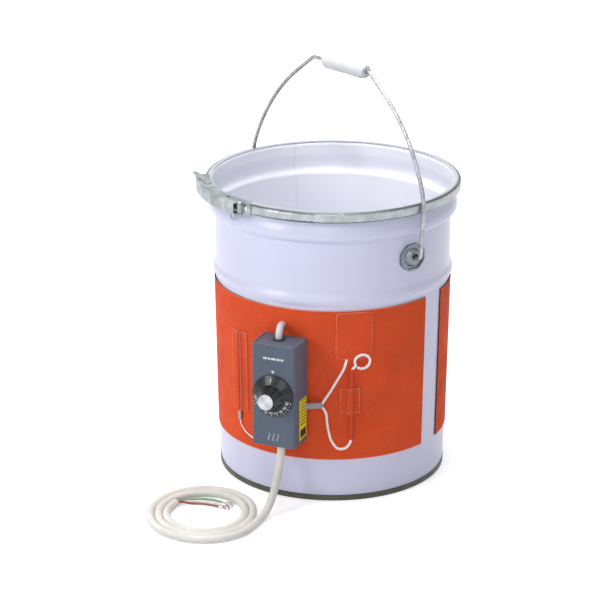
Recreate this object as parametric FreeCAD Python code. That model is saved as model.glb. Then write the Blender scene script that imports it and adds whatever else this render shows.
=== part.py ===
import FreeCAD, Part

import math
import os

Vec = FreeCAD.Vector
ORIGIN = Vec(0, 0, 0)
UP = Vec(0, 0, 1)
SMALL = 0.01

# Axes: the origin is the centre of the pail's foot on the floor, +Z is up and the
# control box faces -Y. An azimuth is in degrees, from -Y round towards +X.

# Pail, sheet steel
PAIL_SHEET = 0.6
PAIL_RADIUS = 144.2           # outside of the straight upper wall
PAIL_TAPER = 4.3              # the wall's line meets the floor this much further in
PAIL_FOOT_RADIUS = PAIL_RADIUS - PAIL_TAPER
TAPER_TOP = 248.0             # the taper ends here, under the lower bead
FOOT_STEP = 0.6               # the wall steps in by this above the chime
FOOT_STEP_LOW = 9.0
FOOT_STEP_HIGH = 14.0
BEAD_HALF_WIDTH = 10.5
BEAD_HEIGHT = 3.4
CURL_RADIUS = 4.0
CURL_CENTRE_HEIGHT = 366.1
NECK_LENGTH = 10.1            # straight wall between the flare and the curl
FLARE_RISE = 9.5
FLARE_FALL = 18.0
FLARE_HEIGHT = 7.8
NECK_TOP = CURL_CENTRE_HEIGHT - NECK_LENGTH
FLARE_CREST = NECK_TOP - FLARE_FALL
FLARE_LOW = FLARE_CREST - FLARE_RISE

# Bottom and chime
CHIME_HEIGHT = 7.2
CHIME_STEP = 0.4              # the chime stands out past the wall's foot by this
CHIME_RADIUS = PAIL_FOOT_RADIUS + CHIME_STEP
CHIME_CORNER = 0.6
CHIME_GROOVE = 3.2            # from the chime's outside in to the far face of its groove
BOTTOM_HEIGHT = 5.8
BOTTOM_CORNER = 1.2

# Lock ring, a rolled channel round the curl
RING_SHEET = 0.8
RIM_OVERHANG = 11.8           # the ring stands out past the wall by this
RING_RADIUS = PAIL_RADIUS + RIM_OVERHANG
RING_FIT = 0.3                # the channel stands off the curl by this
RING_LIP = 8.2                # width of the channel's top
RING_SKIRT = 6.0              # width of the channel's underside
RING_CORNER = 3.5
RING_HEIGHT = 13.1
RING_GAP = (-38.0, -30.0)     # azimuths of the split, under the lever

# Lever lock
CLAMP_SHEET = 1.4
HINGE_CLAMP = (-29.6, -15.8)
KEEPER_CLAMP = (-63.0, -42.0)
CLAMP_LIP = 6.5
CLAMP_SKIRT = 4.0
LEVER_SHEET = 1.2
LEVER_DROP = 6.1              # from the ring's middle down to the lever's underside
LEVER_GAP = 0.35              # the lever's top plate passes over the ring with this gap
LEVER_COVER_RADIUS = RING_RADIUS - 6.3
LEVER_COVER_END = -31.2
LEVER_COVER_CORNERS = (8.0, 3.0)
THUMB_STRIP = (6.5, 1.2)      # width and thickness of the strip on the lever's top
THUMB_START = (12.0, -68.0)   # past the ring's outside, and azimuth
THUMB_END = (0.0, -52.0)
LEVER_RADIUS = RING_RADIUS + 11.0   # outside of the lever's web
LEVER_INNER_RADIUS = RING_RADIUS + CLAMP_SHEET + 1.0
LEVER_END = -66.5
LEVER_WEB_START = -22.5
LEVER_NOSE = 3.8              # rounding of the lever round its hinge pin
HINGE_AZIMUTH = -20.5
HINGE_RADIUS = RING_RADIUS + 5.8
HINGE_PIN_DIAMETER = 4.0
HINGE_KNUCKLE_DIAMETER = 6.4
LINK_AZIMUTH = -31.0
LINK_RADIUS = RING_RADIUS + 5.6
LINK_PIN_DIAMETER = 3.6
LINK_HEIGHT = 5.6
LINK_WIDTH = 4.0
LINK_EYE_DIAMETER = 7.2
KEEPER_AZIMUTH = -46.0
KEEPER_RADIUS = RING_RADIUS + 5.0
KEEPER_PIN_DIAMETER = 3.6
KEEPER_LUG_SHEET = 1.2
KEEPER_DROP = 1.4             # the keeper's saddle ends this far under the ring's top
HOOK_DIAMETER = 8.0
HOOK_PLAY = 0.5               # the hook's slot is this much wider than its pin, each side
RUNNING_FIT = 0.06            # radial play of a hole on its pin
SIDE_PLAY = 0.5               # play beside a moving plate
PIN_HEAD_DIAMETER = 7.0
PIN_HEAD_HEIGHT = 1.3
SEAL_EYE_AZIMUTH = -28.2
SEAL_EYE_SIZE = (6.5, 12.0)    # width and height
SEAL_WIRE = 1.5

# Ears and bail
EAR_AZIMUTH = 62.5
EAR_WIDTH = 36.8
EAR_LENGTH = 32.4
EAR_DROP = 9.3                # the ear's top lies this far under the flare
EAR_HEIGHT = FLARE_LOW - EAR_DROP - EAR_LENGTH / 2
EAR_CUT = 9.5                 # the octagon's corners
EAR_CORNER = 10.0             # rounding of the octagon's corners
EAR_SHEET = 1.4
EAR_RIM = 2.0
EAR_RIM_HEIGHT = 3.0
EAR_DOME_BASE = 12.5
EAR_DOME_TOP = 8.0
EAR_DOME_HEIGHT = 6.6
EAR_HOLE_DIAMETER = 8.0       # the wire rests near the hole's lowest point
WIRE_DIAMETER = 4.8
WIRE_HOLE_FIT = 0.08
BAIL_CLEARANCE = 1.2          # the legs pass the lock ring with this gap
BAIL_HALF_WIDTH = RING_RADIUS + WIRE_DIAMETER / 2 + BAIL_CLEARANCE
BAIL_BEND = 6.0
BAIL_LEG_TOP = 57.5
BAIL_SHOULDER_RADIUS = 70.0
BAIL_SHOULDER_TURN = 20.0
BAIL_ARCH_RADIUS = 220.0
BAIL_ARCH_TURN = 33.0
BAIL_HEIGHT = 204.0           # the grip's axis above the ears
BAIL_CORNER = 12.0
BAIL_LEAN = 3.5               # at rest the bail leans back by this
GRIP_LENGTH = 76.0
GRIP_OFFSET = 8.0             # the grip has slid towards one corner
GRIP_DIAMETER = 19.0
GRIP_END_DIAMETER = 15.0
GRIP_END_LENGTH = 9.0
GRIP_BORE_FIT = 0.35

# Heater band, silicone rubber round the wall
BAND_SHEET = 1.5
BAND_FIT = 0.03               # the band's inside stands off the wall by this
BAND_LOW = 55.0
BAND_HIGH = 246.5
BAND_ENDS = (86.0, 432.3)     # azimuths; what is left between them is bare wall
PATCH_SHEET = 1.2
PATCH_SPAN = (23.6, 41.2)
PATCH_LOW = 185.5
PATCH_HIGH = 244.5
PATCH_CORNER = 6.0
OVERLAY_SHEET = 0.8
BULB_POCKET_SPAN = (-34.6, -22.8)
BULB_POCKET_LOW = 99.0
BULB_POCKET_HIGH = 202.0
BULB_AZIMUTH = -28.2
BULB_DIAMETER = 4.6
BULB_LENGTH = 92.0
BULB_LOW = 98.0
HEM_AZIMUTH = -23.2
HEM_DIAMETER = 2.2
FERRULE_DIAMETER = 4.4
FERRULE_LENGTH = 10.5
CAPILLARY_DIAMETER = 1.6
TAB_SPAN = (25.7, 35.4)
TAB_LOW = 115.5
TAB_HIGH = 147.8
SLEEVE_AZIMUTH = 31.1
SLEEVE_LOW = 82.5
SLEEVE_HIGH = 174.0
SLEEVE_DIAMETER = 5.0
POCKET_FIT = 0.1
LEAD_DIAMETER = 3.2
SHEATH_DIAMETER = 7.2
SURFACE_GAP = 0.18            # a lead lies this far off the band

# Control box
CASE_WIDTH = 54.6
CASE_HEIGHT = 128.6
CASE_DEPTH = 38.2
CASE_LOW = 84.8
CASE_STAND_OFF = 2.8          # from the upper wall to the case's flat back
CASE_BACK = PAIL_RADIUS + CASE_STAND_OFF
CASE_WALL = 2.0
CASE_CORNER = 2.5
CASE_EDGE = 0.8
SIDE_PLATE_GAP = 0.9          # the dark slot round the side plate
SCREW_DIAMETER = 3.0
SCREW_HEAD_DIAMETER = 5.6
SCREW_HEAD_HEIGHT = 1.8
SCREW_LENGTH = 9.0
SCREW_INSET = (7.0, 8.0)
POST_DIAMETER = 6.0
SADDLE_WIDTH = 44.0
SADDLE_INSET = 5.0
DIAL_HEIGHT = 149.7
REGULATOR_SIZE = (34.0, 16.0, 40.0)
BUSHING_DIAMETER = 9.5
BUSHING_REACH = 1.6
BUSHING_FIT = 0.1
SHAFT_DIAMETER = 6.0
SHAFT_LENGTH = 33.0
SHAFT_FLAT = 1.5
DIAL_DIAMETER = 52.0
DIAL_RIM = 1.6
DIAL_GAP = 0.7
DIAL_CONE_HEIGHT = 7.0
HUB_DIAMETER = 31.0
HUB_TIP_DIAMETER = 23.0
HUB_LENGTH = 15.0
HUB_FLUTES = 12
HUB_FLUTE_RADIUS = 2.4
CAP_DIAMETER = 19.4
CAP_HEIGHT = 1.6
LABEL_SIZE = (22.5, 51.0)
LABEL_LOW = 90.0
LABEL_SHEET = 0.2
LABEL_BACK_INSET = 1.2
TERMINAL_BLOCK_SIZE = (26.0, 12.0, 14.0)

# Leads at the box
TOP_LEAD_PLACE = (-1.5, -CASE_BACK - 17.5)
TOP_LEAD_DIAMETER = 8.4
TOP_LEAD_RISE = 12.5
GROMMET_LIP_DIAMETER = 14.8
GROMMET_LIP = 1.6
GROMMET_NECK_DIAMETER = 12.0
SHEATH_PLACE = (-CASE_BACK - 4.2, 128.0)
CAPILLARY_PLACE = (-16.0, -CASE_BACK - 13.0)
CAPILLARY_HOLE_FIT = 0.15
CORD_PLACE = (2.0, -CASE_BACK - 19.0)
CORD_DIAMETER = 9.5
BUSH_LIP_DIAMETER = 12.6
BUSH_LIP = 1.2
BUSH_NECK_DIAMETER = 11.6

# Power cord on the floor, points chosen from the bush to the coil
CORD_POINTS = [
    Vec(*CORD_PLACE, CASE_LOW + 3.2),
    Vec(*CORD_PLACE, CASE_LOW - 18.8),
    Vec(1.1, -176.5, 41.0),
    Vec(0.3, -190.0, 19.0),
    Vec(-0.8, -211.0, 6.0),
    Vec(-1.4, -233.5, 4.8),
]
COIL_CENTRE = Vec(-68.6, -233.5, 0)
COIL_AXES = (71.0, 65.5)      # long and short half axes of the outer turn's centre line
COIL_TILT = 120.0             # direction of the long axis, degrees from +X
COIL_PITCH = 9.8
COIL_LAST_TURN_END = 161.0    # direction of the jacket's cut end, degrees from +X
CORE_DIAMETER = 2.8
CORE_START = Vec(-114.0, -217.1, 4.8)
CORE_ROUTES = {
    "core_green": [Vec(-112.0, -208.6, 3.4), Vec(-105.5, -196.0, 1.6), Vec(-93.0, -188.4, 1.6),
                   Vec(-79.0, -186.3, 1.6), Vec(-65.0, -188.0, 1.6)],
    "core_white": [Vec(-109.2, -209.8, 3.4), Vec(-102.2, -200.8, 1.6), Vec(-91.5, -194.8, 1.6),
                   Vec(-79.0, -193.0, 1.6), Vec(-64.0, -194.8, 1.6)],
    "core_red": [Vec(-107.0, -212.9, 5.0), Vec(-99.9, -206.4, 1.6), Vec(-90.0, -202.4, 1.6),
                 Vec(-77.0, -200.6, 1.6), Vec(-64.0, -201.4, 1.6)],
}
CORE_OFFSETS = {
    "core_green": Vec(-1.6, 0.2, -1.2),
    "core_white": Vec(1.45, 0.2, -1.4),
    "core_red": Vec(0.5, -0.6, 2.0),
}
TERMINAL_HEADINGS = {"core_green": 6.0, "core_white": -4.0, "core_red": -14.0}
BARREL_DIAMETER = 4.2
BARREL_LENGTH = 5.5
TONGUE_LENGTH = 5.0
TONGUE_WIDTH = 3.2
EYE_DIAMETER = 7.6
EYE_HOLE = 4.3
TERMINAL_SHEET = 0.8


# Worked-out sizes

def wall_radius(height):
    """Outside radius of the pail's wall."""
    share = min(height, TAPER_TOP) / TAPER_TOP
    return PAIL_FOOT_RADIUS + (PAIL_RADIUS - PAIL_FOOT_RADIUS) * share


def band_radius(height):
    """Outside radius of the heater band."""
    return wall_radius(height) + BAND_SHEET


BEAD_CENTRE = TAPER_TOP + BEAD_HALF_WIDTH
CURL_OUTER_RADIUS = RING_RADIUS - RING_SHEET - RING_FIT
CURL_CENTRE_RADIUS = CURL_OUTER_RADIUS - CURL_RADIUS
NECK_INNER_RADIUS = CURL_CENTRE_RADIUS - CURL_RADIUS
RING_TOP = CURL_CENTRE_HEIGHT + CURL_RADIUS + RING_SHEET
RING_BOTTOM = RING_TOP - RING_HEIGHT
LOCK_HEIGHT = (RING_TOP + RING_BOTTOM) / 2
CASE_HIGH = CASE_LOW + CASE_HEIGHT
CASE_FRONT = -(CASE_BACK + CASE_DEPTH)
CASE_SIDE = CASE_WIDTH / 2
WIRE_RADIUS = WIRE_DIAMETER / 2
CORD_RADIUS = CORD_DIAMETER / 2


# General forms

def polar(radius, azimuth, height=0.0):
    """A point at a radius and azimuth round the pail's axis."""
    angle = math.radians(azimuth)
    return Vec(radius * math.sin(angle), -radius * math.cos(angle), height)


def flat(radius, height):
    """A point of a section, drawn in the XZ plane."""
    return Vec(radius, 0, height)


def line(start, end):
    return Part.LineSegment(start, end).toShape()


def arc(start, middle, end):
    return Part.Arc(start, middle, end).toShape()


def corner_arc(start, corner, end):
    """A quarter round from start to end, bulging towards the corner."""
    centre = start + end - corner
    middle = centre + (corner - centre) * (1 / math.sqrt(2))
    return arc(start, middle, end)


def ogee(start, end):
    """Two equal arcs, upright at both ends, from one radius of a section to another."""
    rise = end.z - start.z
    step = end.x - start.x
    radius = (step ** 2 + rise ** 2) / (4 * abs(step))
    angle = math.asin(abs(rise) / (2 * radius))
    side = math.copysign(radius * (1 - math.cos(angle / 2)), step)
    lift = math.copysign(radius * math.sin(angle / 2), rise)
    halfway = (start + end) * 0.5
    first = arc(start, Vec(start.x + side, 0, start.z + lift), halfway)
    second = arc(halfway, Vec(end.x - side, 0, end.z - lift), end)
    return [first, second]


def turned(face, first=0.0, last=360.0):
    """A section in the XZ plane turned round the pail's axis between two azimuths."""
    solid = face.revolve(ORIGIN, UP, last - first)
    solid.rotate(ORIGIN, UP, first - 90)
    return solid


def folded(path, thickness):
    """The section of a sheet that follows a path, to the side that the sign gives."""
    return path.makeOffset2D(thickness, 0, True, True)


def polygon(points):
    return Part.Face(Part.makePolygon(points + [points[0]]))


def rectangle(inner, low, outer, high):
    """A section between two radii and two heights."""
    return polygon([flat(inner, low), flat(outer, low), flat(outer, high), flat(inner, high)])


def strip(inner, outer, low, high, first, last):
    """A curved plate between two radii, two heights and two azimuths."""
    return turned(rectangle(inner, low, outer, high), first, last)


def upright(diameter, low, high, place):
    """A round bar that stands at a place."""
    return Part.makeCylinder(diameter / 2, high - low, Vec(place.x, place.y, low), UP)


def place_at(shape, azimuth):
    """Turns what was drawn along +X to an azimuth."""
    shape.rotate(ORIGIN, UP, azimuth - 90)
    return shape


def route(points):
    """Straight runs joined by tangent arcs, each as large as its two runs allow."""
    edges = []
    radii = []
    start = points[0]
    for before, corner, after in zip(points, points[1:], points[2:]):
        back = before - corner
        ahead = after - corner
        reach = 0.45 * min(back.Length, ahead.Length)
        half_turn = (math.pi - back.getAngle(ahead)) / 2
        radius = reach / math.tan(half_turn)
        back.normalize()
        ahead.normalize()
        inward = back + ahead
        inward.normalize()
        first = corner + back * reach
        last = corner + ahead * reach
        middle = corner + inward * (radius / math.cos(half_turn) - radius)
        edges.append(line(start, first))
        edges.append(arc(first, middle, last))
        radii.append(radius)
        start = last
    edges.append(line(start, points[-1]))
    return Part.Wire(edges), radii


def tube(points, diameter, name=""):
    """A round bar along a route, with its volume compared with section times length."""
    path, radii = route(points)
    heading = points[1] - points[0]
    circle = Part.Wire([Part.Circle(points[0], heading, diameter / 2).toShape()])
    solid = path.makePipeShell([circle], True, False)
    expected = math.pi * diameter ** 2 / 4 * path.Length
    if name:
        tightest = min(radii) if radii else 0.0
        print(f"{name}: length {path.Length:.1f}, tightest bend {tightest:.1f}, "
              f"volume ratio {solid.Volume / expected:.4f}")
    return solid


def on_band(azimuth, height, stand_off):
    """A point at a distance outside the heater band."""
    return polar(band_radius(height) + stand_off, azimuth, height)


def rod_on_band(diameter, azimuth, low, high, stand_off):
    """A round bar up the band's slope, its axis at a distance from the band."""
    foot = on_band(azimuth, low, stand_off)
    head = on_band(azimuth, high, stand_off)
    return Part.makeCylinder(diameter / 2, (head - foot).Length, foot, head - foot)


def plate_on_band(thickness, low, high, first, last):
    """A sheet that lies on the band between two heights and two azimuths."""
    section = polygon([
        flat(band_radius(low), low),
        flat(band_radius(low) + thickness, low),
        flat(band_radius(high) + thickness, high),
        flat(band_radius(high), high),
    ])
    return turned(section, first, last)


def band_core(stand_off=0.0):
    """Everything inside the band's outer surface."""
    low = BAND_LOW - 20
    high = BAND_HIGH + 1
    section = polygon([
        flat(0, low),
        flat(band_radius(low) + stand_off, low),
        flat(band_radius(high) + stand_off, high),
        flat(0, high),
    ])
    return turned(section)


# Pail

def pail_shell():
    """The drawn wall: foot, taper, lower bead, flare, neck and outward curl."""
    inner = -PAIL_SHEET
    foot = wall_radius(0) - FOOT_STEP - PAIL_SHEET / 2
    edges = [line(flat(foot, PAIL_SHEET + CHIME_CORNER), flat(foot, FOOT_STEP_LOW))]
    step_top = flat(wall_radius(FOOT_STEP_HIGH) + inner, FOOT_STEP_HIGH)
    edges += ogee(flat(foot, FOOT_STEP_LOW), step_top)
    wall_top = flat(wall_radius(TAPER_TOP) + inner, TAPER_TOP)
    edges.append(line(step_top, wall_top))
    crest = flat(wall_top.x + BEAD_HEIGHT, BEAD_CENTRE)
    bead_top = flat(wall_top.x, BEAD_CENTRE + BEAD_HALF_WIDTH)
    edges += ogee(wall_top, crest)
    edges += ogee(crest, bead_top)
    flare_foot = flat(wall_top.x, FLARE_LOW)
    flare_crest = flat(wall_top.x + FLARE_HEIGHT, FLARE_CREST)
    neck = flat(NECK_INNER_RADIUS, NECK_TOP)
    edges.append(line(bead_top, flare_foot))
    edges += ogee(flare_foot, flare_crest)
    edges += ogee(flare_crest, neck)
    curl_start = flat(NECK_INNER_RADIUS, CURL_CENTRE_HEIGHT)
    slant = CURL_RADIUS / math.sqrt(2)
    curl_middle = flat(CURL_CENTRE_RADIUS + slant, CURL_CENTRE_HEIGHT + slant)
    curl_end = flat(CURL_CENTRE_RADIUS, CURL_CENTRE_HEIGHT - CURL_RADIUS)
    edges.append(line(neck, curl_start))
    edges.append(arc(curl_start, curl_middle, curl_end))
    return turned(folded(Part.Wire(edges), -PAIL_SHEET))


def pail_bottom():
    """The recessed bottom, folded down and round the wall's foot as the chime."""
    seam = CHIME_RADIUS - CHIME_GROOVE
    fold = CHIME_RADIUS - PAIL_SHEET
    foot = PAIL_SHEET
    plate_edge = flat(seam - BOTTOM_CORNER, BOTTOM_HEIGHT)
    seam_top = flat(seam, BOTTOM_HEIGHT - BOTTOM_CORNER)
    fold_in = flat(seam, foot + CHIME_CORNER)
    foot_in = flat(seam + CHIME_CORNER, foot)
    foot_out = flat(fold - CHIME_CORNER, foot)
    fold_out = flat(fold, foot + CHIME_CORNER)
    edges = [
        line(flat(0, BOTTOM_HEIGHT), plate_edge),
        corner_arc(plate_edge, flat(seam, BOTTOM_HEIGHT), seam_top),
        line(seam_top, fold_in),
        corner_arc(fold_in, flat(seam, foot), foot_in),
        line(foot_in, foot_out),
        corner_arc(foot_out, flat(fold, foot), fold_out),
        line(fold_out, flat(fold, CHIME_HEIGHT)),
    ]
    return turned(folded(Part.Wire(edges), -PAIL_SHEET))


# Lock ring and lever lock

def ring_path(lip, skirt):
    """The outside of the lock ring's channel, from its lip, if any, to its skirt."""
    top_corner = flat(RING_RADIUS - RING_CORNER, RING_TOP)
    side_top = flat(RING_RADIUS, RING_TOP - RING_CORNER)
    side_bottom = flat(RING_RADIUS, RING_BOTTOM + RING_CORNER)
    bottom_corner = flat(RING_RADIUS - RING_CORNER, RING_BOTTOM)
    edges = []
    if lip:
        edges.append(line(flat(RING_RADIUS - lip, RING_TOP), top_corner))
        edges.append(corner_arc(top_corner, flat(RING_RADIUS, RING_TOP), side_top))
    edges += [
        line(side_top, side_bottom),
        corner_arc(side_bottom, flat(RING_RADIUS, RING_BOTTOM), bottom_corner),
        line(bottom_corner, flat(RING_RADIUS - skirt, RING_BOTTOM)),
    ]
    return Part.Wire(edges)


def lock_ring():
    """The split channel that clamps on the curl."""
    section = folded(ring_path(RING_LIP, RING_SKIRT), -RING_SHEET)
    return turned(section, RING_GAP[1], RING_GAP[0] + 360)


def hinge_clamp():
    """A saddle that wraps the lock ring from outside, its right end a round tongue."""
    saddle = turned(folded(ring_path(CLAMP_LIP, CLAMP_SKIRT), CLAMP_SHEET), *HINGE_CLAMP)
    radius = RING_HEIGHT / 2 + CLAMP_SHEET + 0.5
    root = HINGE_CLAMP[1] - math.degrees(radius / (RING_RADIUS + CLAMP_SHEET))
    end = strip(RING_RADIUS - 20, RING_RADIUS + 10, RING_BOTTOM - 10, RING_TOP + 10,
                root, HINGE_CLAMP[1] + 1)
    tongue = Part.makeCylinder(radius, 40, Vec(RING_RADIUS - 30, 0, LOCK_HEIGHT), Vec(1, 0, 0))
    return saddle.cut(end.cut(place_at(tongue, root)))


def keeper_clamp():
    """A saddle on the ring's side and underside, clear of the lever's top plate."""
    saddle = turned(folded(ring_path(0, CLAMP_SKIRT), CLAMP_SHEET), *KEEPER_CLAMP)
    upstand = strip(RING_RADIUS, RING_RADIUS + CLAMP_SHEET, LOCK_HEIGHT, RING_TOP - KEEPER_DROP,
                    *KEEPER_CLAMP)
    return saddle.fuse(upstand).removeSplitter()


HINGE_PLACE = polar(HINGE_RADIUS, HINGE_AZIMUTH)
LINK_PLACE = polar(LINK_RADIUS, LINK_AZIMUTH)
KEEPER_PLACE = polar(KEEPER_RADIUS, KEEPER_AZIMUTH)
LEVER_LOW = LOCK_HEIGHT - LEVER_DROP
LEVER_HIGH = RING_TOP + LEVER_GAP + LEVER_SHEET
LINK_LOW = LOCK_HEIGHT - LINK_HEIGHT / 2
LINK_HIGH = LOCK_HEIGHT + LINK_HEIGHT / 2


def hinge_bracket():
    """The clamp with the knuckle that the lever turns on."""
    low = LEVER_LOW + LEVER_SHEET + SIDE_PLAY
    high = LEVER_HIGH - LEVER_SHEET - SIDE_PLAY
    half_angle = math.degrees(HINGE_KNUCKLE_DIAMETER / 2 / HINGE_RADIUS)
    web = strip(RING_RADIUS + CLAMP_SHEET / 2, HINGE_RADIUS, low, high,
                HINGE_AZIMUTH - half_angle, HINGE_AZIMUTH + half_angle)
    knuckle = upright(HINGE_KNUCKLE_DIAMETER, low, high, HINGE_PLACE)
    bore = upright(HINGE_PIN_DIAMETER, low - 1, high + 1, HINGE_PLACE)
    return hinge_clamp().fuse([web, knuckle]).cut(bore).removeSplitter()


def riveted_pin(diameter, low, high, place):
    """A pin with a domed head on each end."""
    pin = upright(diameter, low, high, place)
    radius = PIN_HEAD_DIAMETER / 2
    ball = (radius ** 2 + PIN_HEAD_HEIGHT ** 2) / (2 * PIN_HEAD_HEIGHT)
    for face_height, side in ((high, 1), (low, -1)):
        centre = Vec(place.x, place.y, face_height + side * (PIN_HEAD_HEIGHT - ball))
        block_low = face_height if side > 0 else face_height - PIN_HEAD_HEIGHT
        block = upright(PIN_HEAD_DIAMETER, block_low, block_low + PIN_HEAD_HEIGHT, place)
        pin = pin.fuse(Part.makeSphere(ball, centre).common(block))
    return pin.removeSplitter()


def hinge_pin():
    gap = SIDE_PLAY / 2
    return riveted_pin(HINGE_PIN_DIAMETER, LEVER_LOW - gap, LEVER_HIGH + gap, HINGE_PLACE)


def keeper_bracket():
    """The clamp on the ring's other end, with two lugs for the keeper pin."""
    half_angle = math.degrees((KEEPER_PIN_DIAMETER / 2 + 1.6) / KEEPER_RADIUS)
    reach = KEEPER_RADIUS + KEEPER_PIN_DIAMETER / 2 + 1.0
    lugs = []
    for low in (LINK_HIGH + SIDE_PLAY, LINK_LOW - SIDE_PLAY - KEEPER_LUG_SHEET):
        lugs.append(strip(RING_RADIUS + CLAMP_SHEET / 2, reach, low, low + KEEPER_LUG_SHEET,
                          KEEPER_AZIMUTH - half_angle, KEEPER_AZIMUTH + half_angle))
    bore = upright(KEEPER_PIN_DIAMETER, LINK_LOW - 4, LINK_HIGH + 4, KEEPER_PLACE)
    return keeper_clamp().fuse(lugs).cut(bore).removeSplitter()


def keeper_pin():
    low = LINK_LOW - SIDE_PLAY - KEEPER_LUG_SHEET
    high = LINK_HIGH + SIDE_PLAY + KEEPER_LUG_SHEET
    return upright(KEEPER_PIN_DIAMETER, low, high, KEEPER_PLACE)


def lever_cover():
    """The lever's wide top plate, which lies over the ring, with round inner corners."""
    cover = strip(LEVER_COVER_RADIUS, LEVER_RADIUS, LEVER_HIGH - LEVER_SHEET, LEVER_HIGH,
                  LEVER_END, LEVER_COVER_END)
    for azimuth, radius in zip((LEVER_END, LEVER_COVER_END), LEVER_COVER_CORNERS):
        place = polar(LEVER_COVER_RADIUS, azimuth)
        corner = [edge for edge in edges_along(cover, UP)
                  if math.hypot(edge.BoundBox.Center.x - place.x,
                                edge.BoundBox.Center.y - place.y) < SMALL]
        cover = cover.makeFillet(radius, corner)
    return cover


def thumb_strip():
    """A straight strip with round ends on the lever's top."""
    width, thickness = THUMB_STRIP
    start = polar(RING_RADIUS + THUMB_START[0], THUMB_START[1], LEVER_HIGH)
    end = polar(RING_RADIUS + THUMB_END[0], THUMB_END[1], LEVER_HIGH)
    length = (end - start).Length
    bar = Part.makeBox(length, width, thickness, Vec(0, -width / 2, 0))
    bar.rotate(ORIGIN, UP, math.degrees(math.atan2(end.y - start.y, end.x - start.x)))
    bar.translate(start)
    ends = [upright(width, LEVER_HIGH, LEVER_HIGH + thickness, place) for place in (start, end)]
    return bar.fuse(ends).removeSplitter()


def lock_lever():
    """The curved channel of the lever, open towards the ring, rounded at both ends."""
    web_inner = LEVER_RADIUS - LEVER_SHEET
    lever = strip(web_inner, LEVER_RADIUS, LEVER_LOW, LEVER_HIGH, LEVER_END, LEVER_WEB_START)
    for low in (LEVER_LOW, LEVER_HIGH - LEVER_SHEET):
        high = low + LEVER_SHEET
        flange = strip(LEVER_INNER_RADIUS, LEVER_RADIUS, low, high, LEVER_END, HINGE_AZIMUTH - 1)
        nose = upright(2 * LEVER_NOSE, low, high, HINGE_PLACE)
        lever = lever.fuse([flange, nose])
    round_end = upright(2 * (LEVER_RADIUS - LEVER_INNER_RADIUS), LEVER_LOW - 1, LEVER_HIGH + 1,
                        polar(LEVER_RADIUS, LEVER_END + 3.0))
    tip = strip(LEVER_INNER_RADIUS - 1, LEVER_RADIUS + 1, LEVER_LOW - 1, LEVER_HIGH + 1,
                LEVER_END - 1, LEVER_END + 3.0)
    lever = lever.cut(tip.cut(round_end)).fuse([lever_cover(), thumb_strip()])
    for place, diameter in ((HINGE_PLACE, HINGE_PIN_DIAMETER + 2 * RUNNING_FIT),
                            (LINK_PLACE, LINK_PIN_DIAMETER)):
        lever = lever.cut(upright(diameter, LEVER_LOW - 1, LEVER_HIGH + 1, place))
    return lever.removeSplitter()


def link_pin():
    return upright(LINK_PIN_DIAMETER, LEVER_LOW, LEVER_HIGH, LINK_PLACE)


def lock_link():
    """The hook that pulls the ring shut: an eye on the lever, a slot over the keeper pin.

    The slot opens towards the pail, along the way that the lever lifts it off the pin.
    """
    bar = strip(KEEPER_RADIUS - LINK_WIDTH / 2, KEEPER_RADIUS + LINK_WIDTH / 2,
                LINK_LOW, LINK_HIGH, KEEPER_AZIMUTH, LINK_AZIMUTH)
    eye = upright(LINK_EYE_DIAMETER, LINK_LOW, LINK_HIGH, LINK_PLACE)
    hook = upright(HOOK_DIAMETER, LINK_LOW, LINK_HIGH, KEEPER_PLACE)
    link = bar.fuse([eye, hook])
    link = link.cut(upright(LINK_PIN_DIAMETER + 2 * RUNNING_FIT, LINK_LOW - 1, LINK_HIGH + 1,
                            LINK_PLACE))
    slot_diameter = KEEPER_PIN_DIAMETER + 2 * HOOK_PLAY
    slot = Part.makeBox(HOOK_DIAMETER, slot_diameter, LINK_HEIGHT + 2,
                        Vec(-HOOK_DIAMETER, -slot_diameter / 2, LINK_LOW - 1))
    place_at(slot, (HINGE_AZIMUTH + LINK_AZIMUTH) / 2)
    slot.translate(KEEPER_PLACE)
    slot_end = upright(slot_diameter, LINK_LOW - 1, LINK_HIGH + 1, KEEPER_PLACE)
    ring_side = Part.makeCylinder(RING_RADIUS + CLAMP_SHEET + SIDE_PLAY, LINK_HEIGHT + 2,
                                  Vec(0, 0, LINK_LOW - 1), UP)
    return link.cut([slot, slot_end, ring_side]).removeSplitter()


def seal_eye():
    """A small wire loop under the hinge bracket for a seal."""
    half = (SEAL_EYE_SIZE[0] - SEAL_WIRE) / 2
    reach = RING_RADIUS - RING_CORNER / 2
    top = RING_BOTTOM - CLAMP_SHEET
    bottom = top - SEAL_EYE_SIZE[1] + SEAL_WIRE / 2
    loop = tube([Vec(reach, -half, top + 1), Vec(reach, -half, bottom),
                 Vec(reach, half, bottom), Vec(reach, half, top + 1)], SEAL_WIRE)
    return place_at(loop, SEAL_EYE_AZIMUTH).cut(hinge_clamp())


# Ears and bail

def octagon(width, length, cut, offset):
    """An upright octagon facing +X."""
    half_width = width / 2
    half_length = length / 2
    points = [
        Vec(offset, -half_width, -half_length + cut),
        Vec(offset, -half_width + cut, -half_length),
        Vec(offset, half_width - cut, -half_length),
        Vec(offset, half_width, -half_length + cut),
        Vec(offset, half_width, half_length - cut),
        Vec(offset, half_width - cut, half_length),
        Vec(offset, -half_width + cut, half_length),
        Vec(offset, -half_width, half_length - cut),
    ]
    return polygon(points)


def edges_along(shape, direction):
    """The straight edges of a shape that run in a direction."""
    found = []
    for edge in shape.Edges:
        if edge.Curve.TypeId != "Part::GeomLine":
            continue
        along = edge.Vertexes[-1].Point - edge.Vertexes[0].Point
        if along.cross(direction).Length < 1e-6:
            found.append(edge)
    return found


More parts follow.
